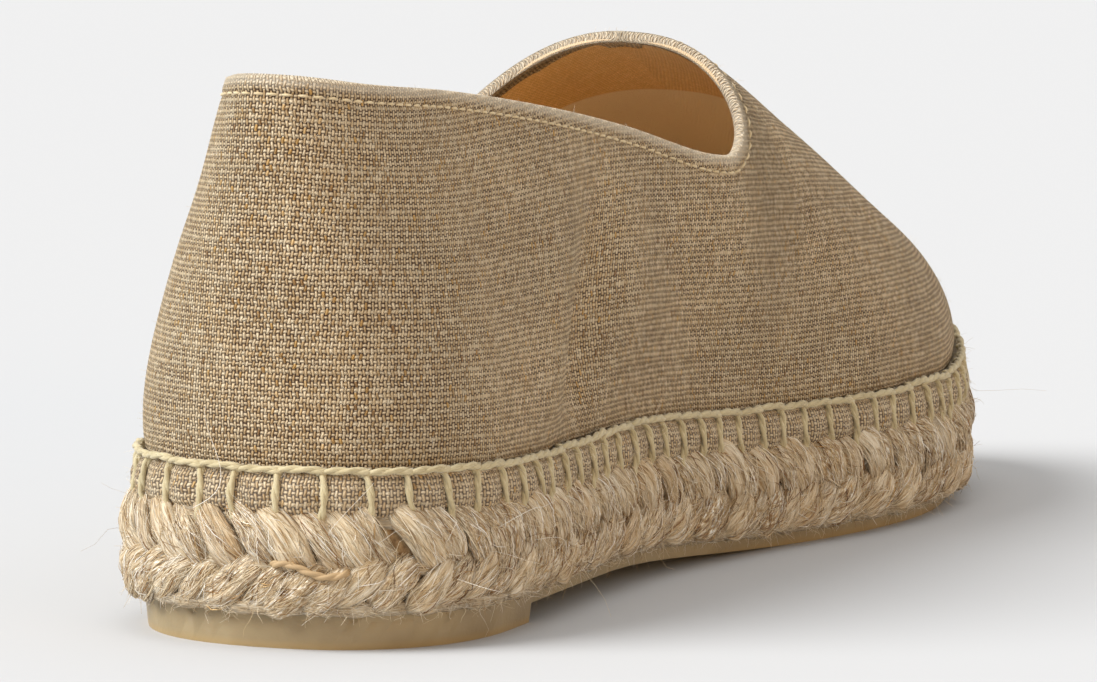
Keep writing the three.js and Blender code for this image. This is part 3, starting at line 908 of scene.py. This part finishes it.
def blanket_stitch():
    """Legs over the hem into the braid, and the line of yarn that links their tops."""
    chance = np.random.default_rng(11)
    at = FIRST_STITCH + PITCH * np.arange(STITCHES)
    t = np.linspace(0, 1, 18)
    drop = lerp(-0.3, HEM_HEIGHT + 2.3, t)
    bend = chance.normal(0, 0.55, STITCHES)[:, None] * np.sin(math.pi * t)
    lean = chance.normal(0.2, 0.6, STITCHES)[:, None] * (t - 0.2)
    s = at[:, None] + bend + lean
    over = np.array([hem_out(at, d) for d in drop]).T + 0.42
    tucked = smooth(t, 0.86, 1.0) * 1.9 + 0.5 * smooth(t, 0.12, 0.0)
    legs = AROUND.point(s, over + 0.35 * smooth(t, 0.6, 0.8) - tucked, HEM_TOP - drop)

    t = np.linspace(0, 1, 14)
    swing = chance.normal(0, 0.24, (STITCHES, 2))
    s = at[:, None] + lerp(-0.7, PITCH + 0.6, t)
    above = 0.45 + swing[:, :1] * (1 - t) + swing[:, 1:] * t + 0.28 * (t - 0.5) + 0.25 * np.sin(math.pi * t)
    out = 0.55 + 0.5 * smooth(t, 0.0, 0.35) + 0.18 * np.sin(math.pi * t) - 0.5 * smooth(t, 0.92, 1.0)
    line = AROUND.point(s, out, above)
    ups = AROUND.normal(at)[:, None]
    parts = [plies(legs, ups, YARN_RADIUS, LEG_TWIST), plies(line, ups, YARN_RADIUS, LINE_TWIST)]
    return mesh_piece("blanket_stitch", join_parts(parts), YARN)


yarn = blanket_stitch()
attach(yarn, "root")


def edge_line(distance):
    """Points on the cloth at a distance below the collar's edge all the way round, and their normals."""
    edge = np.vstack([GRID[0, :OPEN_RIBS, -1], GRID[1, OPEN_RIBS - 2:0:-1, -1]])
    shares = np.linspace(0, 1, STITCH_LINE_SAMPLES, endpoint=False)
    edge = resampled(np.vstack([edge, edge[:1]]), shares)
    surface = (GRID + NORMALS * OUT[..., None]).reshape(-1, 3)
    normals = NORMALS.reshape(-1, 3)

    def on_cloth(points):
        nearest = [int(np.argmin(((surface - point) ** 2).sum(1))) for point in points]
        normal = normals[nearest]
        height = ((points - surface[nearest]) * normal).sum(1, keepdims=True)
        return points - normal * height, normal

    _, normal = on_cloth(edge)
    along = unit(np.roll(edge, -1, axis=0) - np.roll(edge, 1, axis=0))
    return on_cloth(edge + distance * unit(np.cross(along, normal)))


def edge_stitching():
    """Running stitches under the collar's folded edge."""
    path, ups = edge_line(EDGE_STITCH_BELOW)
    closed = np.vstack([path, path[:1]])
    run = run_along(closed)
    count = round(run[-1] / EDGE_STITCH_PITCH)
    chance = np.random.default_rng(5)
    starts = np.arange(count) * run[-1] / count
    t = np.linspace(0, 1, 9)
    at = (starts[:, None] + t * EDGE_STITCH_LENGTH + chance.normal(0, 0.07, (count, 1))) % run[-1]
    above = unit(points_at(at, run, np.vstack([ups, ups[:1]])))
    lift = 0.30 * np.sin(math.pi * t) ** 0.7 - 0.14
    paths = points_at(at, run, closed) + above * lift[:, None]
    radii = EDGE_THREAD_RADIUS * (0.55 + 0.45 * np.sin(math.pi * np.clip(t, 0.06, 0.94)))
    return mesh_piece("edge_stitching", tubes(paths, radii, above, 7), THREAD)


stitching = edge_stitching()
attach(stitching, "root")


# -------- braided jute

BRAID_PITCH = 5.1
BUNDLE_POINTS = 15
BUNDLE_SIDES = 16
FLATNESS = 0.56
WIDE_BUNDLE = 2.75
NARROW_BUNDLE = 2.2
LOWEST_FIBRE = 0.4
FLYAWAY_OUT = 2.2
LONG_FIBRE_OUT = 2.7


def jute_finish():
    """Combed jute fibres in the bundle's own length and turn, each bundle with its own tone."""
    f = Finish("jute")
    tint, glitter = f.value("tint"), f.value("glitter")
    own = f.times(tint, 40.0)
    coarse = f.cloth_noise(0.13, 15.0, own, 3.0, 0.6)
    fine = f.cloth_noise(0.3, 50.0, own, 2.0, 0.6)
    streak = f.times_plus(fine, 0.5, f.times(coarse, 0.5))
    plain = f.ramp(streak, (
        (0.36, (142, 108, 70)),
        (0.43, (204, 180, 144)),
        (0.50, (230, 214, 186)),
        (0.60, (250, 241, 224)),
    ))
    tone = f.ramp(tint, ((0.0, (232, 220, 202)), (0.5, (246, 240, 228)), (1.0, (255, 252, 246))))
    colour = f.mix(1.0, plain, tone, "MULTIPLY")
    # The gilt foil's gold is its own colour; the ramp's dark-brown and near-white ends are painted dark
    # reflections and painted glints on it.
    spark = f.cloth_noise(0.8, 46.0, own, 2.0, 0.7)
    foil_and_glints = f.ramp(spark, (
        (0.36, (84, 54, 28)),
        (0.45, (158, 116, 66)),
        (0.54, (222, 202, 162)),
        (0.64, (255, 250, 238)),
    ))
    return f.set(
        Base_Color=f.mix(f.times(glitter, f.span(spark, 0.35, 0.62, 0.65, 1.0)), colour, foil_and_glints),
        Metallic=f.times(glitter, f.span(spark, 0.48, 0.62, 0.0, 0.6)),
        Roughness=f.times_plus(glitter, -0.38, 0.76),
        Specular_IOR_Level=0.25,
        Sheen_Weight=0.2,
        Normal=f.bump(f.times_plus(coarse, 0.9, fine), 0.0009),
    )


JUTE = jute_finish()
FIBRE_TONES = (
    (0.0, (136, 96, 54)),
    (0.25, (206, 182, 142)),
    (0.6, (234, 219, 190)),
    (1.0, (253, 248, 238)),
)
FIBRE = toned("jute_fibre", FIBRE_TONES, Roughness=0.6, Specular_IOR_Level=0.3)

# Two rows of bundles: braid share at the start and end, run along the shoe, how far the start, the
# crown and the end stand out, offset along the shoe, and bluntness of the start.
BRAID_ROWS = (
    (1.14, 0.36, 9.6, 0.2, 1.7, -0.2, 0.0, 0.13),
    (0.07, 0.60, 9.8, 1.3, 1.8, -0.4, 2.6, 0.22),
)


def braid_bundles():
    """Centre lines, half widths, outward directions and glitter of the bundles."""
    chance = np.random.default_rng(23)
    count = 2 * round(AROUND.length / BRAID_PITCH / 2)
    t = np.linspace(0, 1, BUNDLE_POINTS)
    bow = np.sin(math.pi * t)
    lines, widths, ups, shine = [], [], [], []
    for begin, finish, forward, start_out, crown_out, end_out, offset, blunt in BRAID_ROWS:
        at = np.arange(count) * AROUND.length / count + offset + chance.normal(0, 0.35, count)
        wide = np.arange(count) % 2 == 0
        share = lerp(begin, finish, t)[None] + chance.normal(0, 0.02, (count, 1))
        share = share + chance.normal(0, 0.03, (count, 1)) * bow
        swing = chance.normal(0, 0.8, (count, 1)) * t + chance.normal(0, 0.5, (count, 1)) * bow
        s = at[:, None] + forward * (t + 0.05 * np.sin(2 * math.pi * t)) + swing
        out = lerp(start_out, crown_out, smooth(t, 0, 0.42)) + (end_out - crown_out) * smooth(t, 0.62, 1.0)
        out = out[None] + chance.normal(0, 0.2, (count, 1)) + 0.15 * wide[:, None]
        lines.append(AROUND.point(s, out, AROUND.braid_z(s, share)))
        body = np.sin(math.pi * lerp(blunt, 0.88, t)) ** 0.5
        body = body * np.maximum(quarter(1 - t / 0.16, 2), 0.3)
        ripple = 1 + 0.07 * np.sin(2 * math.pi * (t[None] * 1.7 + chance.random((count, 1))))
        size = np.where(wide[:, None], WIDE_BUNDLE, NARROW_BUNDLE) * (1 + chance.normal(0, 0.10, (count, 1)))
        widths.append(size * body * ripple)
        ups.append(np.broadcast_to(AROUND.normal(at + forward / 2)[:, None], lines[-1].shape))
        gilt = np.where(wide, chance.random(count) < 0.4, chance.random(count) < 0.9)
        shine.append(gilt * chance.uniform(0.5, 1.0, count))
    return np.vstack(lines), np.vstack(widths), np.vstack(ups), np.concatenate(shine)


LINES, WIDTHS, UPS, SHINE = braid_bundles()


def braid_piece():
    """Bundles with uneven sides, as if each were several slivers of fibre lightly twisted together."""
    chance = np.random.default_rng(3)
    count = len(LINES)
    points, faces, uv = tubes(LINES, WIDTHS, UPS, BUNDLE_SIDES, FLATNESS)
    turn = np.linspace(0, 2 * math.pi, BUNDLE_SIDES, endpoint=False)
    twist = np.linspace(0, 1, BUNDLE_POINTS)[:, None] * 1.2
    phase = chance.uniform(0, 2 * math.pi, (2, count, 1, 1))
    lobes = 0.09 * np.sin(4 * (turn + twist) + phase[0]) + 0.06 * np.sin(6 * (turn + twist) + phase[1])
    rings = points.reshape(count, BUNDLE_POINTS, BUNDLE_SIDES, 3)
    rings = LINES[:, :, None] + (rings - LINES[:, :, None]) * (1 + lobes[..., None])
    part = (rings.reshape(-1, 3), faces, uv)
    values = {"tint": per_point(chance.random(count), part), "glitter": per_point(SHINE, part)}
    return mesh_piece("jute_braid", part, JUTE, values)


def bed_piece():
    """Slivers of jute that run round behind the ends of the bundles, under the hem and on the rubber."""
    s = np.linspace(-0.5, AROUND.length + 0.5, BED_STATIONS)
    lumps = 1 + 0.12 * np.sin(s / 1.9) + 0.10 * np.sin(s / 0.83 + 1)
    parts = []
    for share, out, radius in ((0.07, 0.9, 1.25), (0.95, 0.3, 1.4), (0.5, 0.3, 1.7)):
        path = AROUND.point(s, out, AROUND.braid_z(s, share))[None]
        parts.append(tubes(path, radius * lumps, AROUND.normal(s)[None]))
    part = join_parts(parts)
    values = {"tint": per_point([0.45], part), "glitter": per_point([0.3], part)}
    return mesh_piece("jute_bed", part, JUTE, values)


for jute in (braid_piece(), bed_piece()):
    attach(jute, "root")


def random_tints(chance, middle, spread, count):
    return np.clip(chance.normal(middle, spread, count), 0, 1)


def tinted(name, part, tints, material=FIBRE):
    """Piece of fibres with a tint for each."""
    return mesh_piece(name, part, material, {"tint": per_point(tints, part)})


def combed_fibres(name, seed, each, widest, lie, material=FIBRE, gilt=False):
    """Single fibres that lie on the bundles and stray a little; gilt ones keep to the shiny bundles."""
    chance = np.random.default_rng(seed)
    steps = 5
    count = len(LINES) * each
    owner = np.repeat(np.arange(len(LINES)), each)
    reach = chance.uniform(0.25, 0.6, count)
    if gilt:
        owner = chance.choice(len(LINES), count, p=(SHINE + 0.04) / (SHINE + 0.04).sum())
        reach = chance.uniform(0.10, 0.25, count)
    begin = chance.uniform(-0.05, 0.7, count)
    t = begin[:, None] + reach[:, None] * np.linspace(0, 1, steps)
    t = np.clip(t, 0, 1) * (BUNDLE_POINTS - 1)
    low = np.minimum(t.astype(int), BUNDLE_POINTS - 2)
    part = (t - low)[..., None]
    rows = owner[:, None]
    centre = lerp(LINES[rows, low], LINES[rows, low + 1], part)
    width = lerp(WIDTHS[rows, low], WIDTHS[rows, low + 1], part[..., 0])
    up = UPS[rows, low]
    along = unit(LINES[rows, low + 1] - LINES[rows, low])
    across, above = sideways(along, up)
    place = chance.uniform(-1.3, 1.3, (count, 1))
    place = place + chance.normal(0, lie, (count, 1)) * np.linspace(-1, 1, steps)
    stray = chance.exponential(0.13, (count, 1)) * np.sin(np.linspace(0, math.pi, steps)) ** 2
    lift = 0.05 + stray + 0.5 * chance.exponential(0.2, (count, 1)) * np.linspace(0, 1, steps) ** 4
    beside, outward = across * np.sin(place)[..., None], above * np.cos(place)[..., None]
    paths = centre + (beside + outward * FLATNESS) * width[..., None] + (beside + outward) * lift[..., None]
    paths = paths + along * (np.arange(steps) * 0.02)[:, None]
    radii = chance.uniform(0.04, widest, (count, 1)) * np.sin(np.linspace(0.3, math.pi - 0.3, steps))
    return tinted(name, tubes(paths, radii, up, 3), random_tints(chance, 0.5, 0.3, count), material)


# Tones of the gilt fibres: gold is their own colour; the dark-brown and near-white ends are painted
# reflections and painted glints.
GLINT_TONES = (
    (0.0, (92, 58, 30)),
    (0.4, (170, 126, 72)),
    (0.6, (226, 196, 142)),
    (1.0, (255, 250, 238)),
)
GLINT = toned("glitter", GLINT_TONES, Roughness=0.35, Metallic=0.7)

for fibres in (
    combed_fibres("jute_fibres", seed=31, each=24, widest=0.10, lie=0.3),
    combed_fibres("jute_wisps", seed=37, each=23, widest=0.07, lie=0.9),
    combed_fibres("jute_glitter", seed=41, each=11, widest=0.09, lie=0.3, material=GLINT, gilt=True),
):
    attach(fibres, "root")


def hairs(chance, start, heading, length, bend, radius, steps=6):
    """Thin curved fibres from their starts, with one heading and length each."""
    t = np.linspace(0, 1, steps)[None, :, None]
    curl = chance.normal(0, 0.35, start.shape)
    paths = start[:, None] + length[:, None, None] * (
        unit(heading)[:, None] * t + bend[:, None] * 0.5 * t**2 + curl[:, None] * 0.3 * np.sin(5 * t)
    )
    paths[..., 2] = np.maximum(paths[..., 2], LOWEST_FIBRE)
    radii = np.asarray(radius)[..., None] * np.linspace(1, 0.5, steps)
    return tubes(paths, radii, unit(np.cross(heading, bend + 0.01))[:, None], 3)


def fuzz_piece(name, chance, start, heading, size, radius, steps, tint):
    """Piece of short fibres that curl at random, with tints round a middle."""
    part = hairs(chance, start, heading, size, chance.normal(0, 0.9, start.shape), radius, steps)
    return tinted(name, part, random_tints(chance, *tint, len(start)))


# Fly-away fibres: how many, lowest and highest braid share, length, spread outwards and droop.
FLYAWAYS = (
    (1300, 0.0, 1.0, 1.7, 0.9, 0.0),
    (2300, 0.00, 0.12, 1.6, 0.25, -0.3),
    (170, 0.0, 1.0, 5.5, 0.8, 0.1),
    (10, 0.3, 1.0, 6.5, 0.5, 0.2),
)
# Single long fibres: place round the sole, height above the stitched line, heading and length.
LONG_FIBRES = (
    (-9.0, -6.0, (0.50, -0.16, 0.9), 19.0),
    (12.0, -9.0, (0.6, -0.1, 0.8), 9.0),
    (26.0, -15.0, (0.9, 0.4, -0.25), 10.0),
    (40.0, -9.0, (0.8, 0.9, 0.45), 12.0),
    (52.0, -12.0, (0.9, 0.5, -0.3), 9.0),
)


def loose_fibres():
    """Fly-away hairs: a fuzz of short ones, some long ones, and a fringe over the rubber."""
    chance = np.random.default_rng(47)
    parts, tints = [], []
    for count, low, high, length, spread, droop in FLYAWAYS:
        s = chance.uniform(0, AROUND.length, count)
        share = chance.uniform(low, high, count)
        start = AROUND.point(s, FLYAWAY_OUT, AROUND.braid_z(s, share))
        out = AROUND.normal(s)
        forward = np.stack([-out[:, 1], out[:, 0], np.zeros(count)], -1)
        heading = (
            forward * chance.normal(0.3, 1.0, count)[:, None]
            + out * chance.uniform(0.10, 0.10 + spread, count)[:, None]
            + np.array([0, 0, 1.0]) * chance.normal(droop, 0.7, count)[:, None]
        )
        bend = chance.normal(0, 0.8, (count, 3)) + out * -0.25
        size = length * chance.uniform(0.5, 1.5, count)
        parts.append(hairs(chance, start, heading, size, bend, chance.uniform(0.025, 0.045, count)))
        tints.append(per_point(random_tints(chance, 0.5, 0.28, count), parts[-1]))
    place, above, heading, size = (np.array(column, float) for column in zip(*LONG_FIBRES))
    start = AROUND.point(place, LONG_FIBRE_OUT, above)
    bend = chance.normal(0, 0.15, start.shape)
    parts.append(hairs(chance, start, heading, size, bend, radius=0.065, steps=14))
    tints.append(per_point([0.9], parts[-1]))
    return mesh_piece("loose_fibres", join_parts(parts), FIBRE, {"tint": np.concatenate(tints)})


loose = loose_fibres()
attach(loose, "root")


def spine_cord():
    """Thin loose cord of jute that lies along the middle of the braid at the back of the heel."""
    t = np.linspace(0, 1, 30)
    s = lerp(CORD_FROM, CORD_TO, t)
    share = 0.50 + 0.05 * np.sin(2.2 * math.pi * t) - 0.05 * t
    out = 2.9 + 0.5 * np.sin(math.pi * t) - 2.4 * (1 - smooth(t, 0, 0.12)) - 2.4 * smooth(t, 0.88, 1)
    path = AROUND.point(s, out, AROUND.braid_z(s, share))[None]
    part = plies(path, AROUND.normal(s)[None], CORD_RADIUS, CORD_TWIST)
    return tinted("spine_cord", part, [0.16])


cord = spine_cord()
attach(cord, "root")


# -------- fuzz of the linen and the yarn

def leaning(chance, direction, least, most, spread):
    """Headings along a direction by random amounts, each with a random spread."""
    strength = chance.uniform(least, most, (len(direction), 1))
    return direction * strength + chance.normal(0, spread, direction.shape)


def cloth_fuzz():
    """Short fibres that stand off the linen, and longer ones along the collar's edge."""
    chance = np.random.default_rng(61)
    surface = GRID + NORMALS * OUT[..., None]
    along = np.diff(surface, axis=1)[:, :, :-1]
    up = np.diff(surface, axis=2)[:, :-1]
    area = np.linalg.norm(np.cross(along, up), axis=-1)
    at = np.unravel_index(chance.choice(area.size, CLOTH_FIBRES, p=(area / area.sum()).ravel()), area.shape)
    inside = chance.random((2, CLOTH_FIBRES, 1))
    start = surface[at] + along[at] * inside[0] + up[at] * inside[1]
    heading = leaning(chance, NORMALS[at], 0.2, 1.0, 0.8)
    size = chance.uniform(0.35, 1.0, CLOTH_FIBRES)

    edge = chance.integers(0, OPEN_RIBS - 1, COLLAR_FIBRES)
    side = chance.integers(0, 2, COLLAR_FIBRES)
    spread = chance.random((COLLAR_FIBRES, 1))
    rim = lerp(surface[side, edge, -1], surface[side, edge + 1, -1], spread)
    rise = unit(surface[side, edge, -1] - surface[side, edge, -4])
    rim = rim - NORMALS[side, edge, -1] * chance.uniform(0, 1.2, (COLLAR_FIBRES, 1)) + rise * 0.25
    start = np.vstack([start, rim])
    heading = np.vstack([heading, leaning(chance, rise, 0.2, 1.0, 0.7)])
    size = np.concatenate([size, chance.uniform(0.3, 0.8, COLLAR_FIBRES)])
    return fuzz_piece("linen_fuzz", chance, start, heading, size, radius=0.022, steps=4, tint=(0.65, 0.2))


def yarn_fuzz():
    """Soft halo of short fibres round the blanket stitch and over the hem."""
    chance = np.random.default_rng(67)
    count = YARN_FIBRES
    s = chance.uniform(0, AROUND.length, count)
    at_line = chance.random(count) < 0.45
    drop = np.where(at_line, chance.normal(-0.1, 0.5, count), chance.uniform(0, HEM_HEIGHT, count))
    leg = chance.random(count) < 0.5
    nearest = FIRST_STITCH + PITCH * np.round((s - FIRST_STITCH) / PITCH)
    s = np.where(leg & (drop > 0.6), nearest + chance.normal(0, 0.5, count), s)
    start = AROUND.point(s, hem_out(s, np.clip(drop, 0, HEM_HEIGHT)) + 0.25, HEM_TOP - drop)
    heading = leaning(chance, AROUND.normal(s), 0.1, 0.9, 0.8)
    size = chance.uniform(0.7, 1.9, count)
    return fuzz_piece("yarn_fuzz", chance, start, heading, size, radius=0.025, steps=5, tint=(0.7, 0.15))


for fuzz, slot in ((cloth_fuzz(), "linen"), (yarn_fuzz(), "thread")):
    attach(fuzz, "root")


# -------- core, rubber and footbed

def copied(node, name, material, then=None):
    """Own copy of a CAD node's mesh, joined where its faces meet."""
    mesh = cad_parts[node].data.copy()
    mesh.name = name
    mesh.materials.clear()
    mesh.materials.append(material)
    piece = placed(name, mesh)
    joined(piece, then)
    return piece


def core_piece():
    """What shows between the bundles: the braid's inside, coloured dark brown as painted shade in the gaps.
    """
    f = Finish("jute_core")
    grain = f.noise(f.place(), 900.0, 3.0, 0.6)
    finish = f.set(
        Base_Color=f.ramp(grain, ((0.3, (112, 85, 54)), (0.7, (170, 141, 100)))),
        Roughness=0.9,
        Normal=f.bump(grain, 0.0004),
    )
    drawn_in = -CORE_DEPTH / 1000
    piece = copied("jute_sole", "jute_core", finish, lambda: bpy.ops.transform.shrink_fatten(value=drawn_in))
    piece.data.shade_smooth()
    return piece


core = core_piece()
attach(core, "root")
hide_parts("jute_sole")


def rubber_piece():
    """Gum rubber sheet and lift with softened edges."""
    f = Finish("gum_rubber")
    place = f.place()
    height = f.split(place)[2]
    cloud = f.noise(place, 90.0, 3.0)
    grain = f.noise(place, 1400.0, 2.0)
    colour = f.ramp(cloud, ((0.3, (152, 133, 99)), (0.7, (172, 153, 117))))
    # Painted reflection: a warm ochre, lighter band along the bottom edge of the rubber.
    painted_bottom_light = f.span(height, 0.0, 0.0016, 0.35, 0.0)
    colour = f.mix(painted_bottom_light, colour, rgb(196, 158, 96))
    drag = f.noise(f.node("ShaderNodeMapping", {0: place, 3: (220.0, 220.0, 1500.0)}).outputs[0], 1.0, 2.0)
    relief = f.times_plus(drag, 0.6, grain)
    finish = f.set(
        Base_Color=colour,
        Roughness=f.span(cloud, 0.3, 0.7, 0.42, 0.56),
        Subsurface_Weight=0.25,
        Subsurface_Radius=(0.003, 0.002, 0.001),
        Subsurface_Scale=1.0,
        Normal=f.bump(relief, 0.00007, 0.8),
    )
    piece = copied("outsole", "rubber_sole", finish)
    bevel = piece.modifiers.new("edges", "BEVEL")
    bevel.width = RUBBER_EDGE / 1000
    bevel.segments = 3
    bevel.limit_method = "ANGLE"
    bevel.angle_limit = math.radians(38)
    bpy.ops.object.modifier_apply(modifier="edges")
    bpy.ops.object.shade_smooth_by_angle(angle=math.radians(32))
    return piece


rubber = rubber_piece()
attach(rubber, "root")
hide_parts("outsole")


def footbed_finish():
    """Plain tan cloth of the footbed."""
    f = Finish("footbed_cloth")
    place = f.place()
    x, y, _ = f.split(place)
    wave_x = f.math("COSINE", f.times(x, math.pi / 0.0006))
    wave_y = f.math("COSINE", f.times(y, math.pi / 0.0007))
    weave = f.math("ABSOLUTE", f.times(wave_x, wave_y))
    cloud = f.noise(place, 60.0, 3.0)
    thread = f.ramp(cloud, ((0.3, (234, 200, 146)), (0.7, (242, 212, 162))))
    colour = f.mix(f.span(weave, 0.0, 0.5), rgb(188, 146, 92), thread)
    return f.set(Base_Color=colour, Roughness=0.85, Normal=f.bump(weave, 0.00012))


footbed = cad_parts["insole"]
footbed.data.materials.clear()
footbed.data.materials.append(footbed_finish())


# -------- floor, light and camera

def plain_floor():
    """Plain pale floor, 12 m across."""
    bpy.ops.mesh.primitive_plane_add(size=12, location=(0, 0, 0))
    made = bpy.context.active_object
    made.name = "floor"
    finish = Finish("floor").set(Base_Color=(0.574, 0.578, 0.583, 1), Roughness=0.9, Specular_IOR_Level=0.1)
    made.data.materials.append(finish)
    return made


floor = plain_floor()


def sun_light(name, toward, power, spread, colour=(1, 1, 1)):
    """Soft light from a direction, spread over an angle in degrees."""
    data = bpy.data.lights.new(name, "SUN")
    data.energy = power
    data.color = colour
    data.angle = math.radians(spread)
    light = placed(name, data)
    light.rotation_mode = "QUATERNION"
    light.rotation_quaternion = Vector(toward).to_track_quat("Z", "Y")


sun_light("key", (-0.74, -0.69, 0.9), 3.7, 36)
sun_light("top", (0.1, 0.2, 1.0), 0.6, 70)
sun_light("warm_fill", (0.9, -0.5, 0.03), 0.95, 40, (1.0, 0.55, 0.14))

WORLD_LIGHT = 0.54
world = bpy.data.worlds.new("studio")
world.use_nodes = True
background = world.node_tree.nodes["Background"].inputs
background["Color"].default_value = (1, 1, 1, 1)
background["Strength"].default_value = WORLD_LIGHT
bpy.context.scene.world = world
bpy.context.scene.view_settings.view_transform = "Standard"

VIEW_TURN = math.radians(22.01)
VIEW_DROP = math.radians(6.81)
VIEW_ROLL = math.radians(0.63)
forward = Vector((
    -math.sin(VIEW_TURN) * math.cos(VIEW_DROP),
    math.cos(VIEW_TURN) * math.cos(VIEW_DROP),
    -math.sin(VIEW_DROP),
))
camera_data = bpy.data.cameras.new("camera")
camera_data.sensor_width = 36
camera_data.lens = 315
camera_data.clip_start = 0.05
camera_data.clip_end = 30
camera = placed("camera", camera_data)
camera.location = (0.5855, -1.4523, 0.2211)
camera.rotation_mode = "QUATERNION"
roll = Matrix.Rotation(VIEW_ROLL, 4, "Z").to_quaternion()
camera.rotation_quaternion = forward.to_track_quat("-Z", "Y") @ roll
bpy.context.scene.camera = camera
